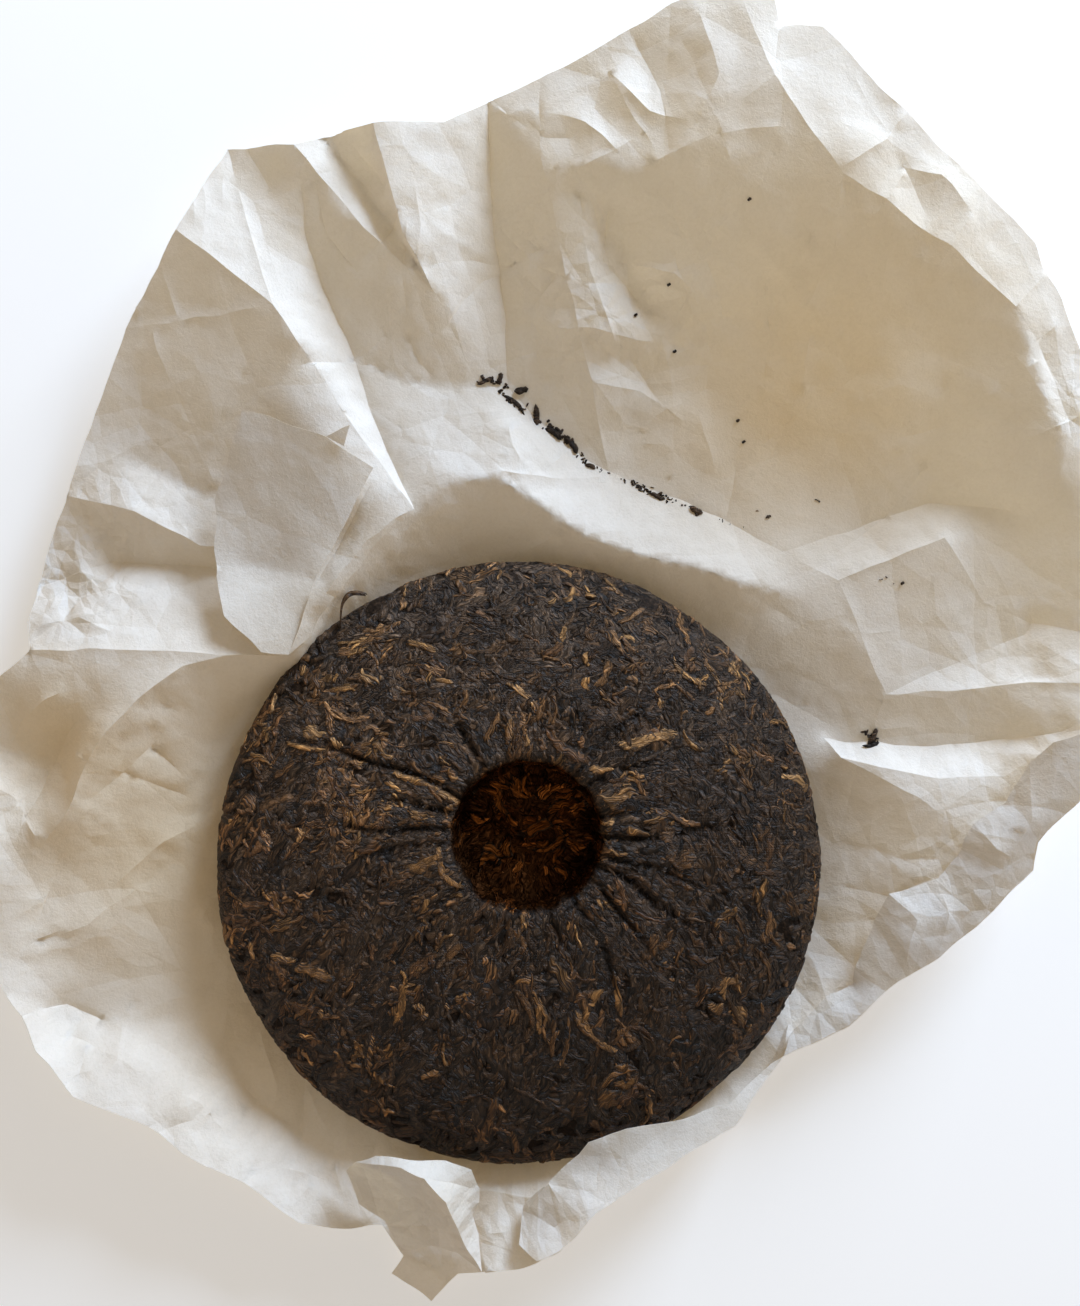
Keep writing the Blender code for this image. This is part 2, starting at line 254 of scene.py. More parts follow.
def crease_depth(x, y):
    """Depth of the radial creases at places on the back."""
    off_x = x - DIMPLE_X
    off_y = y - DIMPLE_Y
    distance = np.hypot(off_x, off_y)
    bearing = np.arctan2(off_y, off_x)
    depth = np.zeros_like(distance)
    for number, (start, stop, end, deepest) in enumerate(CREASES):
        share = (distance - DIMPLE_LIP_RADIUS) / (end * MM - DIMPLE_LIP_RADIUS)
        line = np.radians(start + (stop - start) * np.clip(share, 0.0, 1.0))
        turn = (bearing - line + math.pi) % TURN - math.pi
        wander = CREASE_WANDER * np.sin(distance / WANDER_LENGTH + 2.3 * number)
        across = np.abs(distance * np.sin(turn) + wander)
        across = np.where(np.abs(turn) < 1.2, across, 1.0)
        half = CREASE_HALF_WIDTH * (0.7 + 0.5 * np.sin(distance / WIDTH_LENGTH + number) ** 2)
        trench = np.clip(1.0 - across / half, 0.0, 1.0)
        swell = np.exp(-((across - 2.0 * half) / (0.9 * half)) ** 2)
        fade = 1.0 - smooth_step((share - 0.45) / 0.55)
        fade = fade * smooth_step((distance - 0.86 * DIMPLE_LIP_RADIUS) / (3.0 * MM))
        depth = np.maximum(depth, deepest * MM * trench * fade)
        depth = depth - SWELL_SHARE * deepest * MM * swell * fade
    return CREASE_DEPTH_SHARE * depth


def cake_points(bearing, along):
    """Places on the cake's uneven surface."""
    radius = section_at(along, "radius")
    share = section_at(along, "dimple")
    part = section_at(along, "part")
    wave = sum(size * np.sin(count * bearing + phase) for count, size, phase in EDGE_WAVES)
    reach = radius + wave * smooth_step((radius / CAKE_RADIUS - 0.75) / 0.25)
    x = DIMPLE_X * share + reach * np.cos(bearing)
    y = DIMPLE_Y * share + reach * np.sin(bearing)
    on_back = smooth_step(1.0 - np.abs(part - BACK) * 4.0)
    turned = section_at(along, "height")
    back = top_height(np.minimum(np.hypot(x, y), radius + DIMPLE_Y))
    near_lip = smooth_step(1.0 - share)
    height = turned + (back - turned) * on_back * (1.0 - near_lip) * (share > 0.02)
    above = 1.0 - smooth_step(part - BACK)
    lumps = BROAD_LUMP * smooth_noise(x + 0.6 * height, y, 17.0 * MM, 11)
    lumps = lumps + FINE_LUMP * smooth_noise(x, y - 0.8 * height, 6.0 * MM, 12)
    height = height + (lumps - crease_depth(x, y)) * above
    return np.stack((x, y, height + CAKE_BASE), -1)


def cake_frame(bearing, along):
    """Places on the cake's surface with the outward normals there."""
    step = 0.6 * MM
    turn = step / np.maximum(section_at(along, "radius"), 2.0 * MM)
    around = cake_points(bearing + turn, along) - cake_points(bearing - turn, along)
    outward = cake_points(bearing, np.minimum(along + step, SECTION_LENGTH))
    outward = outward - cake_points(bearing, np.maximum(along - step, 0.0))
    normal = np.cross(outward, around)
    normal /= np.maximum(np.linalg.norm(normal, axis=-1, keepdims=True), 1e-12)
    return cake_points(bearing, along), normal


# ---- materials
# Dark leaf runs from grey-brown to brown.
DARK_TONES = ((0.066, 0.044, 0.029), (0.084, 0.057, 0.038), (0.047, 0.029, 0.018), (0.105, 0.060, 0.030))
BROWN_TONES = ((0.175, 0.092, 0.039), (0.220, 0.118, 0.050), (0.135, 0.070, 0.032))
GOLD_TONES = ((0.320, 0.175, 0.066), (0.260, 0.138, 0.050), (0.390, 0.225, 0.095))
# How leaf folds and wrinkles are scaled along and across a leaf, on whole leaf and on frayed leaf.
FOLD_SCALES = ((0.17, 0.56, 1.0), (0.07, 0.75, 1.0))
WRINKLE_SCALES = ((0.45, 1.7, 1.0), (0.32, 1.7, 1.0))
WEAVE_SCALE = 390.0
PATCH_SCALE = 60.0
LUMP_SCALE = 900.0
FOLD_HEIGHT = 0.50
WRINKLE_HEIGHT = 1.10
IMPRINT_HEIGHT = 0.13
LEAF_SHINE = 0.24
PAPER_TRANSLUCENCY = 0.34
THROUGH_TINT = (0.95, 0.80, 0.55)
# Tan of the shade that is painted into the paper.
PAINTED_SHADE_TAN = (0.97, 0.87, 0.70)
# Crumpled facets of the paper: size (mm), how steep they are, and how they fade where it is smooth.
FACETS = ((38.0, 0.13, 0.4), (15.0, 0.15, 1.0), (6.0, 0.10, 2.0))
FACET_SWAY = 0.35
CLOUD_SCALE = 70.0
FIBRE_SCALE = 900.0
FELT_HEIGHT = 0.20
WHITE = (1.0, 1.0, 1.0)


def new_material(name, surface, *choices):
    """Make a material with the shader that the surface function adds to its node tree."""
    material = bpy.data.materials.new(name)
    material.use_nodes = True
    tree = material.node_tree
    tree.nodes.clear()
    output = tree.nodes.new("ShaderNodeOutputMaterial")
    tree.links.new(surface(tree, *choices), output.inputs["Surface"])
    return material


def add(tree, kind, output, inputs=None, **settings):
    """Add a node with its settings and its input values or links; returns the named output."""
    node = tree.nodes.new("ShaderNode" + kind)
    for key, value in settings.items():
        setattr(node, key, value)
    for key, value in (inputs or {}).items():
        if isinstance(value, bpy.types.NodeSocket):
            tree.links.new(value, node.inputs[key])
        else:
            node.inputs[key].default_value = value
    return node.outputs[output]


def stored(tree, name, output="Fac"):
    """Read what is stored on the piece's points."""
    return add(tree, "Attribute", output, attribute_name=name)


def body_place(tree):
    """Places in the piece's own axes."""
    return add(tree, "TexCoord", "Object")


def calculate(tree, operation, *values):
    """Add a Math node."""
    return add(tree, "Math", 0, dict(enumerate(values)), operation=operation)


def add_ramp(tree, factor, *stops):
    """Add a colour ramp with stops of (position, colour)."""
    colour = add(tree, "ValToRGB", "Color", {"Fac": factor})
    ramp = colour.node.color_ramp
    while len(ramp.elements) < len(stops):
        ramp.elements.new(0.5)
    for element, (position, shade) in zip(ramp.elements, stops):
        element.position = position
        element.color = (*shade, 1.0)
    return colour


def grey(value):
    """A grey colour."""
    return (value,) * 3


def tinted(tree, colour, shade, share=1.0):
    """Multiply a colour by a shade colour, wholly or by a share."""
    return add(tree, "Mix", 2, {0: share, 6: colour, 7: shade}, data_type="RGBA", blend_type="MULTIPLY")


def noise(tree, place, scale, detail, roughness=0.5, output="Fac", **inputs):
    """Noise over a place."""
    return add(tree, "TexNoise", output, {"Vector": place, "Scale": scale, "Detail": detail,
                                          "Roughness": roughness, **inputs})


def swayed(tree, place, scale, amount):
    """A place that is pushed about by broad noise."""
    sway = noise(tree, place, scale, 1.0, output="Color")
    return add(tree, "VectorMath", "Vector", {0: sway, 1: amount, 2: place}, operation="MULTIPLY_ADD")


def mapped(tree, place, scale, **inputs):
    """A place whose axes are scaled apart."""
    return add(tree, "Mapping", 0, {"Vector": place, "Scale": scale, **inputs})


def cell_edges(tree, place):
    """Distance to the nearest edge between cells of the plan."""
    return add(tree, "TexVoronoi", "Distance", {"Vector": place, "Scale": 1.0},
               feature="DISTANCE_TO_EDGE", voronoi_dimensions="2D")


def smooth_range(tree, value, low, high):
    """Rise smoothly from 0 at the low value to 1 at the high one."""
    return add(tree, "MapRange", 0, {"Value": value, "From Min": low, "From Max": high},
               interpolation_type="SMOOTHSTEP")


def bump(tree, height, distance=MM):
    """The normal of a surface with a height on it."""
    return add(tree, "Bump", "Normal", {"Height": height, "Strength": 1.0, "Distance": distance})


def cloth_imprint(tree):
    """The weave of the pressing cloth, in patches."""
    body = body_place(tree)
    weave = [add(tree, "TexWave", "Fac", {"Vector": body, "Scale": WEAVE_SCALE, "Distortion": 0.6},
                 bands_direction=direction) for direction in "XY"]
    patches = smooth_range(tree, noise(tree, body, PATCH_SCALE, 2.0), 0.50, 0.60)
    return calculate(tree, "MULTIPLY", calculate(tree, "MULTIPLY", *weave), patches)


def leaf_surface(tree, frayed):
    """Pressed leaf: own tone for each leaf, folds and wrinkles along it, and the cloth's imprint; painted
    shade in the folds' crevices and painted light and shade on the wrinkles.

    A frayed leaf keeps its own tone only where it is whole; its edges turn dark, partly as frayed leaf and
    partly as painted shade in the crevice at its edge.
    """
    tone = stored(tree, "tone_and_painted_light", "Color")
    # The stored shine is taken away in the dimple, as painted shade.
    shine = calculate(tree, "MULTIPLY", tone.node.outputs["Alpha"], LEAF_SHINE)
    folded = stored(tree, "leaf_fold")
    place = swayed(tree, stored(tree, "leaf_place", "Vector"), 0.28, (7.0, 4.0, 0.0))
    folds = cell_edges(tree, mapped(tree, place, FOLD_SCALES[frayed]))
    wrinkles = noise(tree, mapped(tree, place, WRINKLE_SCALES[frayed]), 1.0, 4.0, 0.68)
    # Painted shade in the crevices along the leaf's folds.
    crevice_painted_shade = add_ramp(tree, folds, (0.0, grey(0.03)), (0.07, (0.22, 0.20, 0.18)), (0.22, WHITE))
    # Painted light and shade on the wrinkles: dark in their hollows, a painted highlight up to three times
    # as bright on their crests.
    shade = add_ramp(tree, wrinkles, (0.34, (0.14, 0.13, 0.12)), (0.46, (0.70, 0.68, 0.66)),
                     (0.56, grey(1.15)), (0.70, (3.0, 2.9, 2.8)))
    if frayed:
        # Partly frayed leaf and partly painted shade: the leaf's edges turn to dark leaf.
        fray_and_painted_shade = calculate(tree, "MULTIPLY", stored(tree, "leaf_edge"), 0.40)
        whole = smooth_range(tree, calculate(tree, "SUBTRACT", wrinkles, fray_and_painted_shade), 0.16, 0.42)
        tone = add(tree, "Mix", 2, {0: whole, 6: (*DARK_TONES[0], 1.0), 7: tone}, data_type="RGBA")
    colour = tinted(tree, tinted(tree, tone, shade), crevice_painted_shade, folded)
    ridge = calculate(tree, "MULTIPLY", smooth_range(tree, folds, 0.0, 0.26), FOLD_HEIGHT)
    ridge = calculate(tree, "MULTIPLY", ridge, folded)
    height = calculate(tree, "MULTIPLY_ADD", wrinkles, WRINKLE_HEIGHT, ridge)
    height = calculate(tree, "MULTIPLY_ADD", cloth_imprint(tree), IMPRINT_HEIGHT, height)
    return add(tree, "BsdfPrincipled", "BSDF", {"Base Color": colour, "Roughness": 0.46,
                                                "Specular IOR Level": shine, "Normal": bump(tree, height)})


def core_surface(tree):
    """The dark pressed mass that shows between the leaves, with painted light and shade on its lumps."""
    lumps = noise(tree, body_place(tree), LUMP_SCALE, 4.0, 0.6)
    # Painted light and shade: the lumps' hollows are darkened and their tops lightened, following the
    # bump.
    shade = add_ramp(tree, lumps, (0.38, grey(0.15)), (0.58, grey(0.5)), (0.72, grey(1.3)))
    colour = tinted(tree, stored(tree, "tone_and_painted_light", "Color"), shade)
    return add(tree, "BsdfPrincipled", "BSDF", {"Base Color": colour, "Roughness": 0.7,
                                                "Specular IOR Level": 0.1,
                                                "Normal": bump(tree, lumps, 0.4 * MM)})


def crumpled_height(tree, amount):
    """Height (mm) of flat facets with crisp creases between them, of several sizes."""
    body = body_place(tree)
    total = None
    for number, (size, steepness, fade) in enumerate(FACETS):
        place = mapped(tree, body, (1.0 / (size * MM),) * 3, Location=(number * 3.7, number * 1.9, 0.0),
                       Rotation=(0.0, 0.0, 0.7 * number))
        facet = cell_edges(tree, swayed(tree, place, 0.9, (FACET_SWAY,) * 3))
        height = calculate(tree, "MULTIPLY", facet, calculate(tree, "POWER", amount, fade))
        height = calculate(tree, "MULTIPLY", height, size * steepness)
        total = height if total is None else calculate(tree, "ADD", total, height)
    return total


def paper_surface(tree):
    """Thin cotton paper: crumpled facets, cloudy fibre, a felted grain, some light let through, and tan
    painted shade in patches.
    """
    body = body_place(tree)
    clouds = noise(tree, body, CLOUD_SCALE, 5.0, 0.6)
    fibre = noise(tree, body, FIBRE_SCALE, 3.0, 0.7, Distortion=0.4)
    base = add_ramp(tree, clouds, (0.30, (0.865, 0.85, 0.815)), (0.70, (0.90, 0.89, 0.865)))
    shade = add_ramp(tree, fibre, (0.30, (0.94, 0.935, 0.92)), (0.60, WHITE))
    # Painted shade: the paper is tinted tan in patches where shade falls.
    paper_painted_shade = add_ramp(tree, stored(tree, "paper_painted_shade"), (0.0, WHITE), (1.0, PAINTED_SHADE_TAN))
    crumples = crumpled_height(tree, stored(tree, "crumple"))
    normal = bump(tree, calculate(tree, "MULTIPLY_ADD", fibre, FELT_HEIGHT, crumples))
    colour = tinted(tree, tinted(tree, base, shade), paper_painted_shade)
    paper = add(tree, "BsdfPrincipled", "BSDF",
                {"Base Color": colour, "Roughness": 0.62, "IOR": 1.38, "Normal": normal})
    through = add(tree, "BsdfTranslucent", "BSDF", {"Color": (*THROUGH_TINT, 1.0), "Normal": normal})
    return add(tree, "MixShader", 0, {0: PAPER_TRANSLUCENCY, 1: paper, 2: through})


def floor_surface(tree):
    """Plain pale floor."""
    return add(tree, "BsdfPrincipled", "BSDF",
               {"Base Color": (0.92, 0.92, 0.92, 1.0), "Roughness": 0.9,
                "Emission Color": (1.0, 1.0, 1.0, 1.0), "Emission Strength": 0.28})


# ---- leaves
# Painted light and shade on the leaf: how light it is from the near side of the cake to the far one and on
# its two sides.
NEAR_SIDE_PAINTED_SHADE = 0.60
FAR_SIDE_PAINTED_LIGHT = 1.32
RIGHT_SIDE_PAINTED_SHADE = 0.20
NEAR_SIDE_PAINTED_TINT = np.array((1.02, 0.85, 0.66))
# Painted shade in the dimple, darkest near its walls.
DIMPLE_PAINTED_SHADE = np.array((1.15, 0.70, 0.40))
DIMPLE_WALL_PAINTED_SHADE = 0.36
DIMPLE_FADE = 0.9 * MM
# Painted shade in the cake's creases.
CREASE_PAINTED_SHADE = 0.80
DEEP_CREASE = 1.3 * MM
EDGE_DROP = 0.30 * MM
END_DROP = 0.45 * MM
# Painted shade along each leaf's edges and ends.
LEAF_EDGE_PAINTED_SHADE = 0.70
PLACE_ROUNDS = 12
# Leaf points away from the dimple as far as this, and light leaf is most common round here.
RADIAL_REACH = 30.0 * MM
DIMPLE_MIDDLE = 14.0 * MM


def painted_light_and_shade(place):
    """Painted light and shade, and the shine, of the leaf at places: darker and browner on the near side
    and in the dimple, with painted shade in the creases; the shine is taken away in the dimple.
    """
    x, y = place[..., 0], place[..., 1]
    # Painted light and shade: lighter towards the far side of the cake, darker and browner on the near
    # side, and darker to the right.
    far = np.clip((y / CAKE_RADIUS + 1.0) / 2.0, 0.0, 1.0)[..., None]
    share = NEAR_SIDE_PAINTED_SHADE + (FAR_SIDE_PAINTED_LIGHT - NEAR_SIDE_PAINTED_SHADE) * smooth_step(far)
    share = share * (1.0 - RIGHT_SIDE_PAINTED_SHADE * x / CAKE_RADIUS)[..., None]
    painted_light_tint = share * (NEAR_SIDE_PAINTED_TINT + (1.0 - NEAR_SIDE_PAINTED_TINT) * far)
    # Painted shade in the creases.
    groove = np.clip(crease_depth(x, y) / DEEP_CREASE, 0.0, 1.0)
    painted_light_tint = painted_light_tint * (1.0 - CREASE_PAINTED_SHADE * smooth_step(groove))[..., None]
    # Painted shade in the dimple; the shine is taken away there too.
    distance = np.hypot(x - DIMPLE_X, y - DIMPLE_Y) + 0.8 * MM * smooth_noise(x, y, 2.5 * MM, 62)
    outside = smooth_step((distance - DIMPLE_LIP_RADIUS) / DIMPLE_FADE + 0.5)[..., None]
    wall = smooth_step((distance - 0.70 * DIMPLE_LIP_RADIUS) / (0.22 * DIMPLE_LIP_RADIUS))[..., None]
    inside = DIMPLE_PAINTED_SHADE * (1.0 - (1.0 - DIMPLE_WALL_PAINTED_SHADE) * wall)
    return painted_light_tint * (inside + (1.0 - inside) * outside), outside


def leaf_forms(rng, leaves, steps, strips):
    """Outline and height of each leaf's grid, in its own axes: along, across, up, u, v."""
    u = np.linspace(0.0, 1.0, steps + 1)[None, :, None]
    v = np.linspace(-1.0, 1.0, strips + 1)[None, None, :]
    length, width, bend, flat, rise, lift = (
        leaves[name][:, None, None] for name in ("length", "width", "bend", "flat", "rise", "lift"))

    def draw(low, high):
        return rng.uniform(low, high, length.shape)

    def ripple(low, high, size):
        return size * np.sin(draw(low, high) * u + draw(0.0, TURN))

    taper = (1.0 - np.abs(2.0 * u - 1.0) ** draw(2.5, 7.0)) ** 0.5
    left = 1.0 + ripple(3.0, 9.0, 0.20) + ripple(9.0, 18.0, 0.14)
    right = 1.0 + ripple(3.0, 9.0, 0.20) + ripple(9.0, 18.0, 0.14)
    half = 0.5 * width * (0.22 + 0.78 * taper) * np.where(v > 0.0, left, right)
    wiggle = draw(-0.3, 0.3) * width * np.sin(draw(3.0, 8.0) * u + draw(0.0, TURN))
    along = (u - 0.5) * length + draw(-0.2, 0.2) * width * v
    across = bend * length * ((2.0 * u - 1.0) ** 2 - 0.33) + wiggle + half * v
    edge = np.abs(v) ** (2.2 + 4.0 * flat)
    ridges = 0.10 * MM * np.sin((draw(2.5, 5.0) + ripple(2.0, 5.0, 0.7)) * v + draw(0.0, TURN))
    swell = ripple(3.0, 8.0, 0.3) * (1.0 - flat)
    up = rise * (1.0 + swell) * (1.0 - edge)
    up = up + ridges * (1.0 - edge) + draw(-0.07, 0.07) * width * v + ripple(2.0, 5.0, 0.06 * MM)
    up = up + lift - EDGE_DROP * edge - END_DROP * (1.0 - taper) ** 2
    return along, across, up, u + 0.0 * v, v + 0.0 * u


def place_leaves(leaves, along, across, up):
    """Bend the leaves' grids onto the cake's surface."""
    cosine = np.cos(leaves["angle"])[:, None, None]
    sine = np.sin(leaves["angle"])[:, None, None]
    outward = along * cosine - across * sine
    sideways = along * sine + across * cosine
    middle = leaves["along"][:, None, None]
    slope = section_at(middle, "slope")
    run = section_at(middle, "radius") + outward * slope
    reach = middle + outward + slope * (np.hypot(run, sideways) - np.abs(run))
    bearing = leaves["bearing"][:, None, None] + np.arctan2(sideways, run)
    place, normal = cake_frame(bearing, np.clip(np.abs(reach), 0.0, SECTION_LENGTH))
    return place + normal * up[..., None]


def leaf_tones(rng, tones, count, spread):
    """A colour for each leaf, drawn from the tones with some spread in brightness."""
    tones = np.asarray(tones)
    share = rng.uniform(0.0, 1.0, (count, 1))
    first = tones[rng.integers(0, len(tones), count)]
    second = tones[rng.integers(0, len(tones), count)]
    return (first * share + second * (1.0 - share)) * np.exp(rng.normal(0.0, spread, (count, 1)))


def store_looks(piece, tone, edge, folded, place):
    """Store what the leaf material reads: colour with its painted light and shade, and shine, edge, folds
    and place on the leaf.
    """
    store(piece, "tone_and_painted_light", "FLOAT_COLOR", tone)
    store(piece, "leaf_edge", "FLOAT", edge)
    store(piece, "leaf_fold", "FLOAT", folded)
    store(piece, "leaf_place", "FLOAT_VECTOR", place)


def make_leaves(name, leaves, tones, material, steps, strips, seed):
    """Build one joined piece from many leaves."""
    rng = np.random.default_rng(seed)
    along, across, up, u, v = leaf_forms(rng, leaves, steps, strips)
    points = place_leaves(leaves, along, across, up)
    faces = repeated(grid_quads(steps, strips), len(points), up[0].size)
    piece = piece_from_arrays(name, points.reshape(-1, 3), faces, material)
    edge = 1.0 - (1.0 - v ** 2) * (1.0 - np.abs(2.0 * u - 1.0) ** 5)
    # Painted light and shade, and the shine, at each point of the leaves.
    painted_light_tint, shine = painted_light_and_shade(points)
    # Painted shade along the leaf's edges and ends.
    tone = tones[:, None, None, :] * painted_light_tint * (1.0 - LEAF_EDGE_PAINTED_SHADE * edge ** 2)[..., None]
    each = (len(points), 1, 1)
    folded = rng.uniform(0.35, 1.0, each)
    shift = rng.uniform(0.0, 500.0, each)
    fineness = np.exp(rng.uniform(-0.45, 0.35, each)) / MM
    place = np.stack((along * fineness + shift, across * fineness - shift, 0.0 * along + shift), -1)
    store_looks(piece, np.concatenate((tone, shine), -1), np.broadcast_to(edge, up.shape),
                np.broadcast_to(folded, up.shape), place)
    return piece


def leaf_density(x, y):
    """How many brown and golden leaves lie at places: most on the left and round the dimple."""
    distance = np.hypot(x - DIMPLE_X, y - DIMPLE_Y)
    around = np.exp(-((distance - RADIAL_REACH) / (9.0 * MM)) ** 2)
    left = smooth_step((-x - 10.0 * MM) / (50.0 * MM))
    tufts = smooth_step(smooth_noise(x, y, 9.0 * MM, 61) * 1.6 + 0.45)
    return np.clip((0.38 + 0.50 * left + 0.35 * around) * tufts, 0.0, 1.0)


def thin_out(leaves, seed):
    """Keep brown and golden leaves where they are dense."""
    place = cake_points(leaves["bearing"], leaves["along"])
    chance = np.random.default_rng(seed).uniform(0.0, 1.0, len(place))
    kept = chance < leaf_density(place[:, 0], place[:, 1])
    return {key: values[kept] for key, values in leaves.items()}


def back_place(x, y):
    """Bearing and distance along the section of places on the back."""
    back = np.abs(SECTION["part"] - BACK) < 0.01
    radii = SECTION["radius"][back]
    distances = SECTION["even"][back]
    share = np.full(len(x), 0.5)
    for _ in range(PLACE_ROUNDS):
        off_x = x - DIMPLE_X * share
        off_y = y - DIMPLE_Y * share
        along = np.interp(np.hypot(off_x, off_y), radii, distances)
        share = section_at(along, "dimple")
    return np.arctan2(off_y, off_x), along


def chosen_leaves(rows, rise=0.35):
    """Leaves at chosen places: x, y, direction in degrees, length, width, bend; millimetres."""
    x, y, direction, length, width, bend = np.asarray(rows, dtype=float).T
    bearing, along = back_place(x * MM, y * MM)
    same = np.ones(len(x))
    return {"bearing": bearing, "along": along, "angle": np.radians(direction) - bearing,
            "length": length * MM, "width": width * MM, "bend": bend,
            "rise": rise * MM * same, "lift": 0.10 * MM * same, "flat": 0.6 * same}


def leaf_directions(rng, bearing, along, jitter):
    """Directions of leaves from the outward one: radial round the dimple, in tufts elsewhere."""
    place = cake_points(bearing, along)
    x, y = place[:, 0], place[:, 1]
    distance = np.hypot(x - DIMPLE_X, y - DIMPLE_Y)
    tuft = math.pi * 1.3 * smooth_noise(x, y, 13.0 * MM, 21)
    free = tuft + rng.normal(0.0, jitter, len(bearing)) - bearing
    radial = rng.normal(0.0, 0.28, len(bearing))
    share = smooth_step((distance - RADIAL_REACH) / (28.0 * MM))
    loose = rng.uniform(0.0, 1.0, len(bearing)) < share
    return np.where(loose | (distance < DIMPLE_MIDDLE), free, radial)


def random_leaves(seed, count, low, high, length, width, rise, lift, flat, bend=0.08, jitter=0.7):
    """Draw leaves over a stretch of the section.

    Length and width are given as (middle, spread) and the rest as ranges, all in millimetres.
    """
    rng = np.random.default_rng(seed)
    stretch = (SECTION["even"] >= low) & (SECTION["even"] <= high)
    weight = np.cumsum(SECTION["radius"][stretch])
    along = np.interp(rng.uniform(0.0, 1.0, count), weight / weight[-1], SECTION["even"][stretch])
    bearing = rng.uniform(0.0, TURN, count)
    size = np.exp(rng.normal(0.0, 1.0, (2, count)) * np.array(((length[1],), (width[1],))))
    return {"bearing": bearing, "along": along,
            "angle": leaf_directions(rng, bearing, along, jitter),
            "length": length[0] * MM * size[0], "width": width[0] * MM * size[1],
            "bend": rng.normal(0.0, bend, count), "rise": rng.uniform(*rise, count) * MM,
            "lift": rng.uniform(*lift, count) * MM, "flat": rng.uniform(*flat, count)}


# ---- the cake's pieces
CORE_COLUMNS = 400
CORE_STEP = 1.1 * MM
CORE_SINK = 0.30 * MM
BROW_RADIUS = 88.0 * MM
RIM_RADIUS = 70.0 * MM


def make_core():
    """The relief core under the leaves, in the place of the CAD cake."""
    along = np.arange(0.0, SECTION_LENGTH, CORE_STEP)[1:-1]
    bearing = np.arange(CORE_COLUMNS) * TURN / CORE_COLUMNS
    along, bearing = np.meshgrid(along, bearing, indexing="ij")
    place, normal = cake_frame(bearing, along)
    x, y = place[..., 0], place[..., 1]
    relief = 0.22 * MM * smooth_noise(x, y, 1.7 * MM, 31) + 0.2 * MM * smooth_noise(y, x, 3.1 * MM, 32)
    above = 1.0 - smooth_step(section_at(along, "part") - BACK)
    place = place + normal * (relief * above - CORE_SINK)[..., None]
    place[..., 2] = np.maximum(place[..., 2], CAKE_BASE)
    quads = grid_quads(len(place) - 1, CORE_COLUMNS, closed=True)
    points = np.concatenate((place.reshape(-1, 3), place[0].mean(0)[None], place[-1].mean(0)[None]))
    ring = np.arange(CORE_COLUMNS)
    after = (ring + 1) % CORE_COLUMNS
    last = (len(place) - 1) * CORE_COLUMNS
    fan_floor = np.stack((ring, after, np.full(CORE_COLUMNS, len(points) - 2)), -1)
    fan_spot = np.stack((last + after, last + ring, np.full(CORE_COLUMNS, len(points) - 1)), -1)
    faces = np.concatenate((quads[:, (0, 1, 2)], quads[:, (0, 2, 3)], fan_floor, fan_spot))
    material = new_material("pressed_core", core_surface)
    core = piece_from_arrays("tea_core", points, faces, material)
    # Painted light and shade on the core, as on the leaves.
    painted_light_tint, shine = painted_light_and_shade(points)
    store(core, "tone_and_painted_light", "FLOAT_COLOR", np.concatenate((DARK_TONES[2] * painted_light_tint, shine), -1))
    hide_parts("tea_cake")


# Leaves that stand out, read off one by one: x, y, direction, length, width, bend.
GOLDEN_LEAVES = (
    (42, 42, 22, 23, 4.6, 0.05), (33, 23, 7, 14, 7.0, 0.0), (28, 32, -4, 12, 3.4, 0.0),
    (-76, -30, -17, 10, 3.4, 0.0), (-66, -34, -18, 14, 4.4, 0.0), (2, 56, -56, 15, 3.0, -0.2),
    (14, 75, 66, 10, 3.4, 0.0), (-31, 72, -30, 11, 3.4, 0.0), (55, 63, -39, 16, 2.8, 0.2),
    (73, 62, -60, 12, 3.6, -0.1), (67, 33, 39, 9, 3.0, 0.0), (56, 41, -42, 10, 3.0, 0.2),
    (33, -67, 23, 14, 4.0, -0.15), (30, -75, 43, 9, 7.0, 0.0), (14, -34, -56, 14, 5.0, 0.0),
    (25, -53, -38, 19, 3.4, 0.05), (7, -44, -52, 12, 3.4, 0.0), (-38, -44, -103, 13, 3.4, 0.0),
    (79, -9, -97, 14, 3.6, 0.0), (68, -38, 49, 9, 4.4, -0.3), (67, -16, 34, 11, 3.0, -0.15),
    (-77, -19, 6, 8, 5.0, 0.0), (-48, 62, -38, 9, 5.4, 0.3), (32, -40, -74, 14, 2.6, 0.0),
    (-32, 28, -29, 20, 3.0, 0.05), (-22, 23, -37, 10, 2.8, 0.0), (-30, 2, 27, 13, 5.4, 0.1),
    (-23, 0, -58, 18, 3.0, 0.15), (-69, 39, -25, 15, 2.4, 0.05), (-66, 44, -32, 8, 6.0, 0.0),
)
BROWN_LEAVES = (
    (81, -19, -85, 12, 4.6, 0.0), (53, 3, 30, 9, 7.5, 0.0), (73, 30, -54, 12, 2.6, 0.1),
    (-17, 55, 75, 8, 3.0, 0.0), (-8, 46, 73, 12, 3.0, 0.0), (43, -25, 72, 9, 5.0, 0.0),
    (42, 78, -25, 8, 5.8, 0.0), (28, 63, 68, 14, 3.8, 0.1), (47, 18, -16, 15, 3.0, 0.0),
    (89, -12, -63, 10, 5.0, 0.0), (-79, 47, 80, 10, 2.8, -0.2), (-61, 48, 108, 12, 3.4, 0.1),
    (-23, 51, -36, 17, 3.4, 0.05), (-49, 18, 62, 8, 4.6, 0.0), (-48, 7, 18, 8, 5.2, 0.0),
    (-76, 32, 34, 9, 3.0, 0.0), (-10, -83, -117, 16, 3.4, 0.0), (80, -32, 117, 14, 2.2, 0.15),
)
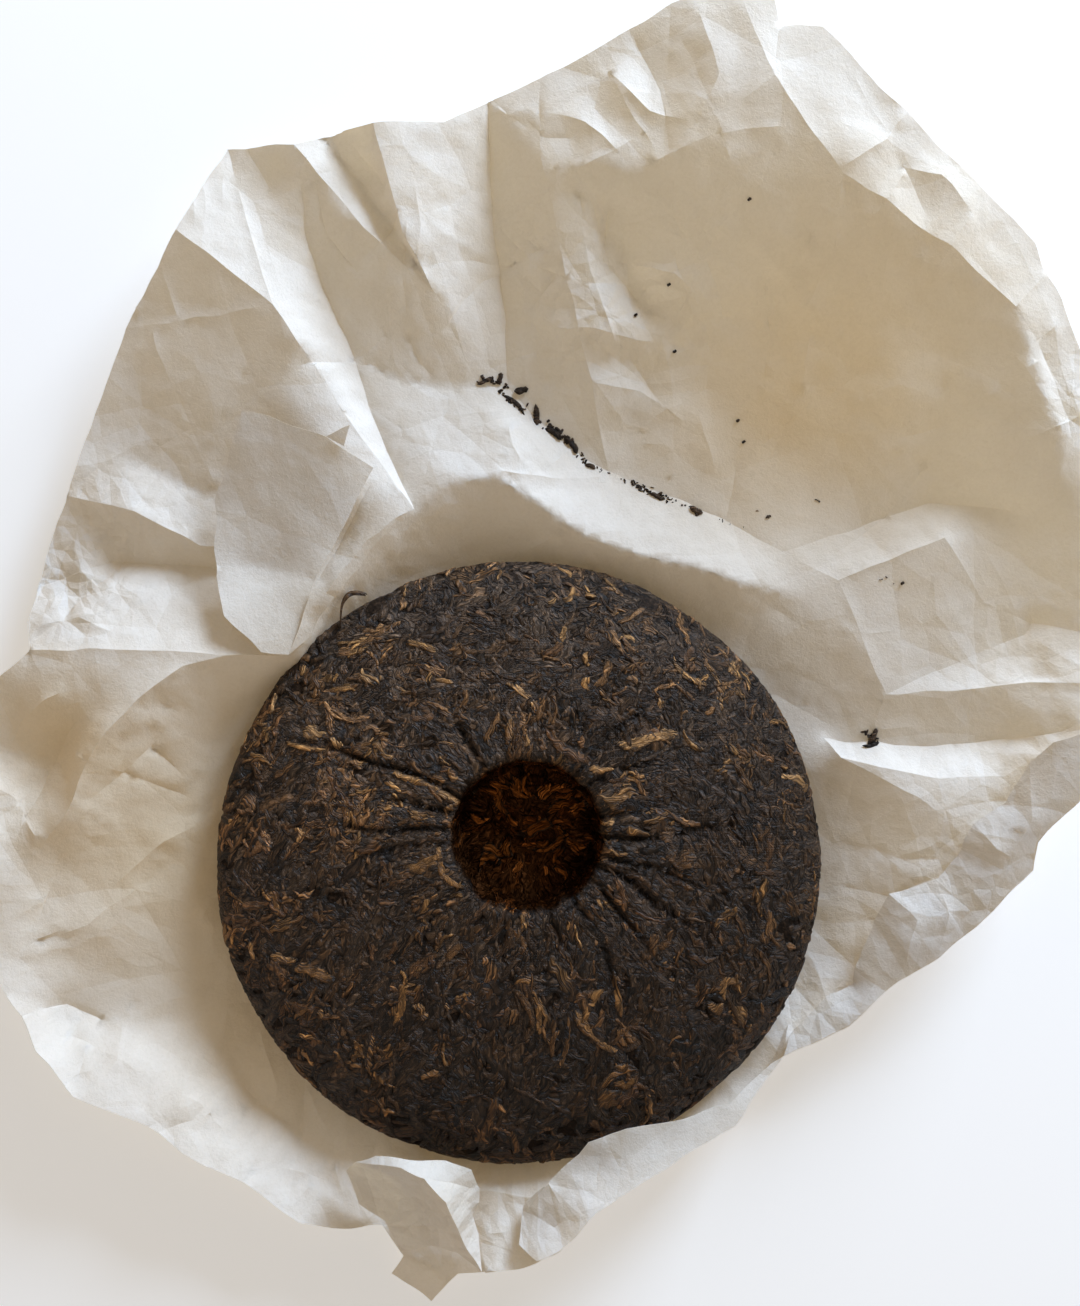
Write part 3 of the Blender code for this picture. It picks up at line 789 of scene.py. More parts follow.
# The one leaf that curls out over the cake's edge.
LOOSE_LEAF = ((-53.4, 82.2, 40, 13, 2.0, 0.0),)
LOOSE_RISE = 0.9
LOOSE_STEPS = 16
LOOSE_STRIPS = 6
LOOSE_ARCH = Vector((-3.6, 5.6, 1.6)) * MM
LOOSE_TURN = math.radians(145.0)


def arch_leaf(piece):
    """Arch the loose leaf outwards from its held end."""
    for vertex in piece.data.vertices:
        share = (vertex.index // (LOOSE_STRIPS + 1)) / LOOSE_STEPS
        vertex.co += LOOSE_ARCH * math.sin(LOOSE_TURN * share)


def make_cake(dark):
    """Cover the core with pressed leaves of every kind."""
    make_core()
    light = new_material("golden_leaf", leaf_surface, True)
    rim = along_at_radius(RIM_RADIUS, FRONT)
    brow = along_at_radius(BROW_RADIUS, BACK)

    def layer(name, seed, leaves, tones, spread, material, steps, strips):
        colours = leaf_tones(np.random.default_rng(seed + 1), tones, len(leaves["length"]), spread)
        return make_leaves(name, leaves, colours, material, steps, strips, seed)

    layer("under_leaves", 141,
          random_leaves(41, 2600, rim - 4.0 * MM, SECTION_LENGTH, (11, 0.35), (3.6, 0.3), (0.05, 0.15),
                        (-0.2, 0.05), (0.5, 1.0)), DARK_TONES, 0.25, dark, 5, 3)
    layer("pressed_leaves", 142,
          random_leaves(42, 2600, 0.0, brow, (11, 0.40), (4.8, 0.35), (0.05, 0.2), (-0.22, 0.08),
                        (0.5, 1.0)), DARK_TONES, 0.24, dark, 8, 4)
    layer("rolled_leaves", 146,
          random_leaves(46, 1500, 0.0, brow, (7.5, 0.40), (2.0, 0.35), (0.10, 0.35), (-0.22, 0.08),
                        (0.2, 0.9)), DARK_TONES, 0.30, dark, 8, 4)
    layer("rim_leaves", 143,
          random_leaves(43, 2300, brow, rim, (10.0, 0.35), (3.4, 0.4), (0.05, 0.25), (-0.2, 0.1),
                        (0.3, 1.0)), DARK_TONES, 0.26, dark, 7, 4)
    layer("brown_leaves", 144,
          thin_out(random_leaves(44, 4200, 0.0, rim, (7.5, 0.42), (2.6, 0.40), (0.15, 0.4),
                                 (-0.12, 0.14), (0.2, 0.9), 0.12), 71), BROWN_TONES, 0.30, light, 8, 5)
    layer("golden_leaves", 145,
          thin_out(random_leaves(45, 1000, 0.0, rim, (6.5, 0.35), (2.5, 0.35), (0.2, 0.45),
                                 (-0.05, 0.17), (0.2, 0.8), 0.16), 72), GOLD_TONES, 0.25, light, 9, 6)
    layer("chosen_golden_leaves", 147, chosen_leaves(GOLDEN_LEAVES), GOLD_TONES, 0.15, light, 14, 6)
    layer("chosen_brown_leaves", 148, chosen_leaves(BROWN_LEAVES), BROWN_TONES, 0.20, light, 14, 6)
    layer("dimple_leaves", 150,
          random_leaves(48, 26, 0.0, DIMPLE_FLOOR_RADIUS, (8.0, 0.25), (2.8, 0.25), (0.5, 1.0),
                        (0.2, 0.8), (0.0, 0.5), 0.25), GOLD_TONES, 0.35, light, 12, 6)
    loose = layer("loose_leaf", 149, chosen_leaves(LOOSE_LEAF, LOOSE_RISE), DARK_TONES, 0.10, dark,
                  LOOSE_STEPS, LOOSE_STRIPS)
    arch_leaf(loose)


# ---- the wrapper
PAPER_STEP = 2.1 * MM
PAPER_THICKNESS = 0.15 * MM
OVERLAP_STEP = 0.7 * PAPER_STEP
GRID_JITTER = 0.22
GRID_CLEARANCE = 0.6
# Stated junctions are drawn in towards the middle by their height, all in millimetres.
SHEET_MIDDLE = (7.0, 70.0)
DRAWN_IN_PER_MM = 1.0 / 400.0
LEVEL_HEIGHT = 12.0
CAD_PAPER = 0.8
RIM_STEP = 0.002
RIM_SHARPNESS = 0.7
# Relaxing: how much places are pulled back to where they were, and for how many rounds.
PULL = 0.012
LINE_PULL = 0.30
RELAX_ROUNDS = 50
SOFTEN_PULL = 0.5
SOFTEN_ROUNDS = 5
SPAN_ROUNDS = 400
OVERLAP_PULL = 0.3
OVERLAP_ROUNDS = 6
# Shading breaks along folds that are at least as sharp as this.
CRISP_FROM = 0.65
PINCH = 0.8 * MM
PINCH_LENGTH = 30.0 * MM
# The paper stays put within this radius, and is fully uneven beyond the span after it.
CALM_RADIUS = 92.0 * MM
CALM_SPAN = 16.0 * MM
ON_LINE = 1e-5
RANDOM_CREASES = 190

# The CAD sheet's folds: how sharp each is (0 to 1), then its junctions (mm, as the CAD states them).
CAD_FOLDS = (
    (0.85, ((-160, 1), (-150, 17), (-143, 33), (-136, 44), (-126, 54), (-112, 65), (-98, 69))),
    (0.80, ((-98, 69), (-77, 69), (-66, 88), (-50, 107), (-35, 118))),
    (0.60, ((-35, 118), (-24, 126), (-9, 129), (3, 123), (12, 115), (23, 108), (40, 103), (56, 99),
            (76, 93), (92, 89))),
    (0.60, ((-56, 170), (-39, 160), (-13, 158))),
    (0.80, ((-13, 158), (-4, 158), (7, 147), (19, 137), (30, 130), (55, 120), (69, 114), (88, 103),
            (106, 94))),
    (0.95, ((-97, 237), (-82, 186), (-58, 150), (-35, 118))),
    (0.95, ((-114, 211), (-82, 186))),
    (0.85, ((-130, 178), (-117, 179), (-82, 186))),
    (0.90, ((-75, 240), (-70, 204), (-56, 170), (-45, 140), (-35, 118))),
    (0.95, ((-75, 240), (-52, 212), (-28, 190))),
    (0.10, ((-65, 241), (-42, 210), (-28, 190))),
    (0.95, ((-49, 247), (-39, 210), (-28, 190), (-13, 158))),
    (0.60, ((-13, 158), (-4, 135))),
    (0.90, ((-10, 253), (-9, 215), (-4, 180), (-4, 158))),
    (0.80, ((7, 261), (8, 231), (12, 215), (19, 183), (24, 160), (30, 130))),
    (0.90, ((25, 270), (48, 233))),
    (0.80, ((51, 286), (48, 233))),
    (0.20, ((8, 231), (48, 233))),
    (0.95, ((48, 233), (85, 262), (108, 230))),
    (0.80, ((108, 230), (143, 206), (166, 185), (176, 196))),
    (0.50, ((48, 233), (34, 207), (46, 178), (36, 150), (55, 120))),
    (0.50, ((166, 185), (179, 150), (181, 128), (165, 117))),
    (0.90, ((142, 108), (106, 94))),
    (0.70, ((88, 103), (115, 112), (136, 120), (165, 117))),
    (0.90, ((72, 295), (85, 262), (87, 278))),
    (0.85, ((142, 108), (155, 87), (170, 80), (195, 75))),
    (0.85, ((106, 94), (112, 80), (122, 56), (117, 40))),
    (0.90, ((122, 56), (168, 76), (170, 80))),
    (0.85, ((122, 56), (145, 57), (170, 60), (196, 60))),
    (0.90, ((101, 41), (117, 40), (140, 39), (163, 41), (194, 45))),
    (0.80, ((101, 41), (108, 35), (120, 32), (140, 28), (162, 29), (170, 34), (194, 45))),
    (0.80, ((108, 35), (133, 22), (148, 10))),
    (0.70, ((170, 34), (163, 20), (148, 10), (140, -5), (124, -11), (119, -19), (112, -36),
            (103, -45), (90, -54), (88, -65))),
    (0.70, ((90, -54), (78, -76), (60, -92), (43, -99), (26, -106), (8, -112), (-12, -110),
            (-34, -102), (-50, -106))),
    (0.80, ((8, -112), (-2, -122), (-11, -137))),
    (0.15, ((-172, -44), (-150, -52), (-110, -52), (-97, -63), (-88, -80), (-66, -98),
            (-50, -106))),
    (0.70, ((-50, -106), (-45, -121))),
    (0.30, ((-186, -6), (-172, 0), (-160, 1))),
    (0.10, ((-182, 42), (-160, 33), (-143, 33))),
    (0.90, ((-163, 71), (-140, 71), (-112, 70), (-98, 69))),
    (0.80, ((-160, 92), (-135, 100), (-103, 98), (-66, 88))),
    (0.85, ((-150, 122), (-128, 117), (-106, 106), (-92, 104))),
    (0.60, ((-144, 141), (-125, 133), (-105, 122), (-92, 118))),
)

# Small creases that the CAD sheet leaves out: sharpness, rise (mm), half width (mm), points (mm).
SMALL_CREASES = (
    (0.9, 3.0, 6, ((-62, 86), (-48, 104), (-36, 118))),
    (0.9, -2.2, 5, ((-68, 92), (-57, 112), (-49, 126))),
    (0.9, -6.0, 12, ((-74, 174), (-58, 150), (-40, 124))),
    (0.9, 1.2, 5, ((3, 104), (14, 109))),
    (0.9, 2.0, 8, ((-135, -8), (-118, 7), (-108, 12), (-100, 20))),
    (0.9, 1.4, 6, ((-107, -22), (-100, -10))),
    (0.9, 1.6, 7, ((-128, -48), (-121, -37))),
    (0.9, 3.0, 9, ((-158, 4), (-150, 17), (-143, 33), (-136, 44), (-126, 54), (-112, 65))),
    (0.9, -2.8, 9, ((-168, 6), (-158, 28), (-150, 44), (-138, 58))),
    (0.9, 2.0, 8, ((-180, 30), (-168, 22), (-160, 8))),
    (0.9, 1.8, 8, ((-126, -8), (-142, -20), (-160, -26))),
    (0.9, 1.2, 9, ((-90, -104), (-80, -75), (-86, -55))),
    (0.9, 1.0, 7, ((69, 114), (85, 137))),
    (0.9, 1.5, 9, ((-143, 115), (-144, 90), (-137, 84))),
    (0.9, 1.4, 14, ((-122, 177), (-112, 152), (-101, 127))),
    (0.9, 1.3, 8, ((-56, 167), (-48, 172), (-44, 176))),
    (0.9, 1.2, 9, ((85, 137), (98, 160))),
    (0.9, 1.0, 9, ((121, 152), (142, 159))),
    (0.8, 0.9, 10, ((108, 230), (105, 200), (100, 182))),
    (0.9, 1.4, 6, ((129, 230), (118, 214))),
    (0.9, 1.1, 6, ((150, 215), (139, 197))),
    (0.9, 3.2, 11, ((20, 222), (24, 196), (33, 172))),
    (0.9, -2.4, 8, ((30, 218), (28, 200), (41, 186))),
    (0.9, 2.2, 8, ((33, 200), (52, 196), (62, 186))),
    (0.9, 2.6, 9, ((12, 178), (30, 176), (52, 172))),
    (0.9, -1.6, 7, ((38, 168), (48, 150))),
    (0.9, 2.0, 8, ((24, 160), (40, 157), (55, 146))),
    (0.9, 1.6, 8, ((60, 150), (66, 128))),
    (0.9, 2.4, 8, ((-152, 104), (-140, 92), (-128, 88))),
    (0.9, -2.0, 7, ((-150, 84), (-136, 96), (-126, 110))),
    (0.9, 2.2, 7, ((-160, 78), (-146, 82), (-134, 76))),
    (0.9, 2.6, 10, ((108, 232), (122, 240), (130, 250))),
    (0.9, 2.2, 9, ((128, 232), (140, 228), (152, 214))),
    (0.9, -1.8, 8, ((112, 262), (122, 244), (138, 214))),
    (0.9, 2.4, 9, ((30, 262), (44, 250), (60, 246))),
    (0.9, -2.0, 8, ((38, 276), (48, 258), (50, 236))),
    (0.9, 2.2, 8, ((60, 284), (66, 262), (60, 246))),
    (0.9, 1.8, 8, ((8, 250), (22, 246), (34, 236))),
    (0.9, 1.8, 8, ((160, 128), (168, 140), (188, 150))),
    (0.9, -1.8, 7, ((172, 176), (180, 160), (184, 140))),
    (0.9, 1.6, 7, ((-120, -72), (-106, -80), (-96, -92))),
    (0.9, 1.4, 7, ((-150, -58), (-134, -64), (-124, -72))),
    (0.9, 1.8, 8, ((-172, 6), (-178, 20), (-176, 38))),
    (0.9, -1.6, 7, ((-182, 10), (-168, 18), (-158, 30))),
)

# Where the paper is crumpled most: x, y, reach (mm), how much. Elsewhere it is nearly smooth.
CRUMPLED = (
    (32, 182, 32, 1.0), (38, 256, 26, 0.35), (-150, 92, 26, 1.2), (-176, 12, 20, 0.9),
    (182, 152, 16, 1.0), (150, -5, 34, 0.9), (-30, -114, 30, 0.9), (14, -116, 26, 0.7),
    (-100, -84, 36, 0.5), (160, 70, 30, 0.5), (-125, 130, 34, 0.6), (-20, 140, 26, 0.5),
    (135, 225, 26, 0.25), (-60, 215, 30, 0.3), (100, -50, 22, 0.7), (-118, -22, 30, 0.3),
)
SMOOTH_PAPER = 0.14
# Where tan shade is painted into the paper most: x, y, reach (mm), how much.
PAINTED_SHADE_SPOTS = (
    (-115, 5, 46, 1.0), (-60, 70, 30, 0.4), (-85, -60, 30, 0.6), (90, 150, 40, 0.9),
    (125, 190, 40, 0.4), (-150, 45, 20, 0.7), (-20, -105, 20, 0.3),
)


def drawn_in(x, y, height):
    """A stated junction, drawn in towards the sheet's middle by its height; millimetres."""
    scale = 1.0 - (height - LEVEL_HEIGHT) * DRAWN_IN_PER_MM
    return (SHEET_MIDDLE[0] + (x - SHEET_MIDDLE[0]) * scale,
            SHEET_MIDDLE[1] + (y - SHEET_MIDDLE[1]) * scale, height)


def plan_place(tree, x, y):
    """Where a stated junction lies in the plan, drawn in by its height on the CAD sheet."""
    place = Vector((x * MM, y * MM))
    for _ in range(3):
        place = Vector(drawn_in(x, y, sheet_height(tree, place) / MM - CAD_PAPER)[:2]) * MM
    return place


def hit_from_above(tree, x, y):
    """Where a line straight down first meets a surface, if it does."""
    return tree.ray_cast(Vector((x, y, ABOVE)), DOWN)[0]


def sheet_height(tree, place):
    """Height of the CAD sheet's upper side at a place of the plan, or just inside its rim."""
    share = 0.0
    hit = None
    while hit is None:
        inside = place.to_2d().lerp(Vector(SHEET_MIDDLE) * MM, share)
        hit = hit_from_above(tree, *inside)
        share += RIM_STEP
    return hit.z


def upper_side(node):
    """The upper side of a CAD sheet: its places, its facets and the loop of edges round it."""
    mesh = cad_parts[node].data
    places = []
    numbers = {}

    def number(vertex):
        key = tuple(round(c / MM, 3) for c in vertex.co)
        if key not in numbers:
            numbers[key] = len(places)
            places.append(vertex.co.copy())
        return numbers[key]

    facets = [[number(mesh.vertices[index]) for index in polygon.vertices]
              for polygon in mesh.polygons if polygon.normal.z > 0.05]
    uses = {}
    for facet in facets:
        for pair in zip(facet, facet[1:] + facet[:1]):
            uses[frozenset(pair)] = uses.get(frozenset(pair), 0) + 1
    return places, facets, [tuple(edge) for edge, count in uses.items() if count == 1]


def random_creases():
    """Small creases at random places, mostly pointing away from the cake."""
    rng = np.random.default_rng(SEED)
    creases = []
    for _ in range(RANDOM_CREASES):
        bearing = rng.uniform(0.0, TURN)
        distance = rng.uniform(108.0, 240.0)
        heading = bearing + rng.choice((0.0, 0.5 * math.pi), p=(0.65, 0.35)) + rng.normal(0.0, 0.5)
        length = rng.uniform(12.0, 48.0)
        start = np.array((distance * math.cos(bearing), 20.0 + distance * math.sin(bearing)))
        kink = start + 0.5 * length * np.array((math.cos(heading), math.sin(heading)))
        turned = heading + rng.normal(0.0, 0.3)
        end = kink + 0.5 * length * np.array((math.cos(turned), math.sin(turned)))
        rise = rng.uniform(0.25, 0.75) * rng.choice((-1.0, 1.0))
        creases.append((0.9, rise, rng.uniform(6.0, 13.0), (start, kink, end)))
    return creases


def paper_grid(low, high, step):
    """Points of a slightly disordered triangle grid over a box of the plan."""
    rng = np.random.default_rng(SEED)
    x, y = np.meshgrid(np.arange(low[0], high[0], step),
                       np.arange(low[1], high[1], step * math.sqrt(0.75)))
    x = x + 0.5 * step * (np.arange(len(x)) % 2)[:, None]
    jitter = rng.uniform(-GRID_JITTER, GRID_JITTER, (2,) + x.shape) * step
    return np.stack((x + jitter[0], y + jitter[1]), -1).reshape(-1, 2)


def beside_line(points, start, end):
    """How far along a straight line points of the plan lie, from 0 to 1, and how far from it."""
    run = end - start
    share = np.clip((points - start) @ run / (run @ run), 0.0, 1.0)
    return share, np.linalg.norm(points - start - share[:, None] * run, axis=1)


def line_rise(points, line, rise, half_width):
    """Rise of a small crease over points of the plan, falling off to both sides and both ends."""
    line = np.array([tuple(place) for place in line])
    lengths = np.linalg.norm(np.diff(line, axis=0), axis=1)
    before = np.append(0.0, np.cumsum(lengths))
    best = np.full(len(points), np.inf)
    share = np.zeros(len(points))
    for start, end, length, passed in zip(line, line[1:], lengths, before):
        run, gap = beside_line(points, start, end)
        share = np.where(gap < best, (passed + run * length) / before[-1], share)
        best = np.minimum(gap, best)
    ends = np.sqrt(np.clip(1.0 - np.abs(2.0 * share - 1.0) ** 2, 0.0, 1.0))
    return rise * MM * ends * np.clip(1.0 - best / (half_width * MM), 0.0, 1.0)


def relax(heights, edges, line_edges, sharpness, pull, rounds):
    """Smooth heights over a mesh while fold lines stay sharp and all stays near where it was."""
    count = len(heights)
    base = heights.copy()

    def total(pairs, values):
        low = np.bincount(pairs[:, 0], values[pairs[:, 1]], count)
        return low + np.bincount(pairs[:, 1], values[pairs[:, 0]], count)

    around = np.bincount(edges.ravel(), minlength=count)
    beside = np.bincount(line_edges.ravel(), minlength=count)
    for _ in range(rounds):
        spread = total(edges, heights) / around
        along = np.where(beside > 0, total(line_edges, heights) / np.maximum(beside, 1), spread)
        mixed = sharpness * along + (1.0 - sharpness) * spread
        heights = (1.0 - pull) * mixed + pull * base
    return heights


def mesh_edges(faces):
    """The edges of triangles, each once, and those that only one triangle has."""
    pairs = np.concatenate((faces[:, (0, 1)], faces[:, (1, 2)], faces[:, (2, 0)]))
    edges, count = np.unique(np.sort(pairs, axis=1), axis=0, return_counts=True)
    return edges, edges[count == 1]


class SheetPlan:
    """The lines that a sheet's triangles must follow, cut into short steps."""

    def __init__(self, step):
        self.step = step
        self.places = []
        self.edges = []
        self.origins = []

    def add_line(self, route, sharp):
        """Add a line through places of the plan."""
        for start, end in zip(route, route[1:]):
            count = max(1, round((end - start).length / self.step))
            first = len(self.places)
            self.places += [start.lerp(end, share / count) for share in range(count + 1)]
            self.edges += [(first + index, first + index + 1) for index in range(count)]
            self.origins += [sharp] * count

    def add_grid(self, low, high):
        """Fill a box of the plan with points that keep clear of the lines."""
        lookup = KDTree(len(self.places))
        for index, place in enumerate(self.places):
            lookup.insert((*place, 0.0), index)
        lookup.balance()
        for x, y in paper_grid(low, high, self.step).tolist():
            if lookup.find((x, y, 0.0))[2] > GRID_CLEARANCE * self.step:
                self.places.append(Vector((x, y)))


def sharp_lines(pairs, sources, origins, count):
    """The edges that lie on a fold line, and how sharp each place is."""
    sharpness = np.zeros(count)
    line_edges = []
    for pair, used in zip(pairs, sources):
        sharp = max((origins[index] for index in used), default=0.0)
        if sharp > 0.0:
            line_edges.append(pair)
            for end in pair:
                sharpness[end] = max(sharpness[end], sharp)
    return np.array(line_edges), sharpness


def sheet_mesh(tree, plan):
    """Triangulate the part of a sheet's plan that lies over what is in the tree.

    Returns its places, triangles, fold edges, each place's sharpness and the crisp fold edges.
    """
    found, pairs, faces, _, sources, _ = delaunay_2d_cdt(plan.places, plan.edges, [], 1, 1e-6)
    middles = [(found[first] + found[second] + found[third]) / 3.0 for first, second, third in faces]
    covered = [hit_from_above(tree, *middle) is not None for middle in middles]
    line_edges, sharpness = sharp_lines(pairs, sources, plan.origins, len(found))
    used, faces = np.unique(np.array(faces)[covered], return_inverse=True)
    number = np.full(len(found), -1)
    number[used] = np.arange(len(used))
    line_edges = number[line_edges]
    line_edges = line_edges[(line_edges >= 0).all(axis=1)]
    sharpness = sharpness[used]
    crisp = line_edges[sharpness[line_edges].min(axis=1) >= CRISP_FROM]
    return [found[index] for index in used], faces.reshape(-1, 3), line_edges, sharpness, crisp


def undulate(points, calm):
    """Add the gentle unevenness of handled paper; calm is 0 where the sheet must stay put."""
    x, y = points[:, 0].copy(), points[:, 1].copy()
    rise = 0.45 * MM * smooth_noise(x, y, 24.0 * MM, 51) + 0.22 * MM * smooth_noise(x, y, 9.0 * MM, 52)
    points[:, 2] += rise * calm
    points[:, 0] += 0.6 * MM * smooth_noise(x, y, 8.0 * MM, 53) * calm
    points[:, 1] += 0.6 * MM * smooth_noise(x, y, 8.0 * MM, 54) * calm
    return points


def amount_at(points, spots, least, most):
    """How much of something there is at places, fading away from the spots that have most."""
    amount = np.full(len(points), least)
    for x, y, reach, extra in spots:
        gap = np.hypot(points[:, 0] - x * MM, points[:, 1] - y * MM) / (reach * MM)
        amount = amount + extra * np.exp(-gap ** 2)
    return np.minimum(amount, most)


def paper_piece(name, points, faces, crisp_edges, material):
    """Make a piece of paper with its thickness below the given surface."""
    sharp = np.concatenate((mesh_edges(faces)[1], crisp_edges))
    piece = piece_from_arrays(name, points, faces, material, sharp)
    store(piece, "crumple", "FLOAT", amount_at(points, CRUMPLED, SMOOTH_PAPER, 1.5))
    # Where tan shade is painted into the paper.
    store(piece, "paper_painted_shade", "FLOAT", amount_at(points, PAINTED_SHADE_SPOTS, 0.0, 1.0))
    solid = piece.modifiers.new("thickness", "SOLIDIFY")
    solid.thickness = PAPER_THICKNESS
    solid.offset = -1.0
    return piece


def wrapper_plan(tree, places, rim, creases):
    """The wrapper's plan with its rim and all its fold lines, and where the small creases run."""
    plan = SheetPlan(PAPER_STEP)
    for start, end in rim:
        plan.add_line((places[start].to_2d(), places[end].to_2d()), RIM_SHARPNESS)
    routes = []
    for sharp, *_, line in [*CAD_FOLDS, *creases]:
        routes.append([plan_place(tree, x, y) for x, y in line])
        plan.add_line(routes[-1], sharp)
    plan.add_grid(*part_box("paper_wrapper"))
    return plan, routes[len(CAD_FOLDS):]


def make_wrapper(material):
    """Turn the CAD wrapper's facets into thin creased paper; returns both surfaces."""
    places, facets, rim = upper_side("paper_wrapper")
    tree = BVHTree.FromPolygons(places, facets)
    creases = [*SMALL_CREASES, *random_creases()]
    plan, routes = wrapper_plan(tree, places, rim, creases)
    found, faces, line_edges, sharpness, crisp = sheet_mesh(tree, plan)
    points = np.array([(*place, sheet_height(tree, place)) for place in found])
    edges = mesh_edges(faces)[0]
    pull = np.where(sharpness > 0.0, LINE_PULL, PULL)
    points[:, 2] = relax(points[:, 2], edges, line_edges, sharpness, pull, RELAX_ROUNDS)
    calm = smooth_step((np.hypot(points[:, 0], points[:, 1]) - CALM_RADIUS) / CALM_SPAN)
    for (_, rise, half_width, _), route in zip(creases, routes):
        points[:, 2] += calm * line_rise(points[:, :2], route, rise, half_width)
    pull = SOFTEN_PULL * (sharpness > 0.0)
    points[:, 2] = relax(points[:, 2], edges, line_edges, sharpness, pull, SOFTEN_ROUNDS)
    pinch = smooth_noise(points[:, 0], points[:, 1], PINCH_LENGTH, 61)
    points[:, 2] += PINCH * calm * np.clip(sharpness, 0.0, 1.0) ** 2 * pinch
    points = undulate(points, calm)
    points[:, 2] = np.maximum(points[:, 2], 2.0 * PAPER_THICKNESS)
    piece = paper_piece("wrapper_sheet", points, faces, crisp, material)
    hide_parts("paper_wrapper")
    return tree, BVHTree.FromPolygons(points.tolist(), faces.tolist())


# Parts of the sheet that lie over the rest: outline and inner fold lines as (x, y, height), mm.
OVERLAPS = {
    "turned_corner": (
        ((-92, 151, 31), (-64, 142, 31), (-48, 131, 25), (-59, 111, 24), (-69, 92, 24),
         (-77, 69, 25), (-86, 70, 27), (-98, 82, 28), (-101, 95, 24), (-101, 120, 23)),
        ((0.2, ((-101, 98, 24), (-86, 99, 21), (-69, 95, 23))),),
    ),
    "turned_tip": (
        ((-64, 142, 32), (-56, 146, 33), (-58, 139, 30)),
        (),
    ),
    "turned_foot": (
        ((-69, 92, 26), (-62, 88, 25), (-69, 76, 21), (-77, 69, 25)),
        (),
    ),
    "turned_side": (
        ((194, 45, 33), (178, 40, 29), (170, 33, 26), (163, 20, 24), (152, 13, 22), (149, 8, 22),
         (147, 2, 20), (140, -6, 19), (124, -11, 17), (119, -19, 14), (112, -35, 14),
         (112, -41, 13), (103, -45, 13), (92, -56, 14), (88, -65, 15), (110, -55, 17),
         (127, -40, 19), (140, -32, 21), (152, -22, 23), (172, -3, 25), (173, 7, 27),
         (187, 20, 31)),
        ((0.9, ((170, 33, 26), (172, 14, 29), (162, -4, 25), (152, -22, 23))),
         (0.8, ((152, 13, 22), (160, 4, 27), (172, -3, 25))),
         (0.8, ((140, -6, 19), (144, -18, 24), (140, -32, 21))),
         (0.8, ((124, -11, 17), (133, -20, 22), (127, -40, 19))),
         (0.7, ((112, -35, 14), (120, -40, 18), (110, -55, 17)))),
    ),
    "front_fold": (
        ((2, -114, 19), (8, -108, 20), (20, -98, 24), (23, -94, 26), (36, -89, 27), (55, -86, 25),
         (70, -81, 21), (84, -67, 16), (88, -65, 16), (72, -88, 21), (41, -107, 29),
         (27, -117, 32), (14, -130, 33), (6, -134, 32), (0, -128, 26)),
        ((0.9, ((23, -94, 26), (10, -107, 23), (3, -116, 21))),
         (0.9, ((28, -92, 27), (26, -104, 25), (27, -117, 32))),
         (0.8, ((10, -107, 23), (16, -118, 29), (27, -117, 32))),
         (0.8, ((3, -116, 21), (12, -122, 28), (16, -118, 29))),
         (0.8, ((55, -86, 25), (50, -95, 25), (41, -107, 29)))),
    ),
    "front_gather": (
        ((-57, -103, 20), (-54, -100, 26), (-48, -98, 29), (-39, -99, 30), (-24, -100, 28),
         (-16, -103, 25), (-13, -109, 22), (-13, -114, 20), (-15, -118, 21), (-13, -124, 23),
         (-12, -137, 25), (-20, -131, 26), (-29, -128, 20), (-39, -130, 14), (-44, -120, 17),
         (-53, -114, 17)),
        ((0.95, ((-54, -100, 26), (-47, -101, 31), (-39, -102, 33), (-31, -106, 35),
                 (-24, -114, 36), (-19, -125, 32), (-12, -137, 25))),
         (0.9, ((-53, -114, 17), (-45, -106, 25), (-31, -106, 35))),
         (0.9, ((-44, -120, 17), (-36, -112, 25), (-31, -106, 35))),
         (0.9, ((-29, -128, 20), (-30, -118, 24), (-24, -114, 36))),
         (0.9, ((-31, -106, 35), (-22, -107, 28), (-13, -109, 22))),
         (0.9, ((-24, -114, 36), (-18, -113, 27), (-13, -114, 20)))),
    ),
}


def hold_lines(points, lines):
    """Set the heights of points on the lines to the stated ones; returns which points those are."""
    held = np.zeros(len(points), bool)
    for _, line in lines:
        for start, end in zip(line, line[1:]):
            share, gap = beside_line(points[:, :2], start[:2], end[:2])
            height = start[2] + share * (end[2] - start[2])
            points[:, 2] = np.where(gap < ON_LINE, height, points[:, 2])
            held |= gap < ON_LINE
    return held


def make_overlap(name, outline, folds, material):
    """Make one part of the sheet that lies over the rest."""
    lines = [(sharp, np.array([drawn_in(*junction) for junction in line]) * MM)
             for sharp, line in ((1.0, outline + outline[:1]), *folds)]
    plan = SheetPlan(OVERLAP_STEP)
    for sharp, line in lines:
        plan.add_line([Vector(place[:2]) for place in line], sharp)
    corners = lines[0][1][:-1]
    rim = BVHTree.FromPolygons([(x, y, 0.0) for x, y, _ in corners], [tuple(range(len(corners)))])
    plan.add_grid(corners[:, :2].min(0), corners[:, :2].max(0))
    found, faces, line_edges, sharpness, crisp = sheet_mesh(rim, plan)
    points = np.array([(*place, 0.0) for place in found])
    held = hold_lines(points, lines)
    points[~held, 2] = corners[:, 2].mean()
    edges = mesh_edges(faces)[0]
    pull = held.astype(float)
    points[:, 2] = relax(points[:, 2], edges, line_edges, sharpness, pull, SPAN_ROUNDS)
    pull = OVERLAP_PULL * (sharpness > 0.0)
    points[:, 2] = relax(points[:, 2], edges, line_edges, sharpness, pull, OVERLAP_ROUNDS)
    paper_piece(name, undulate(points, 1.0), faces, crisp, material)


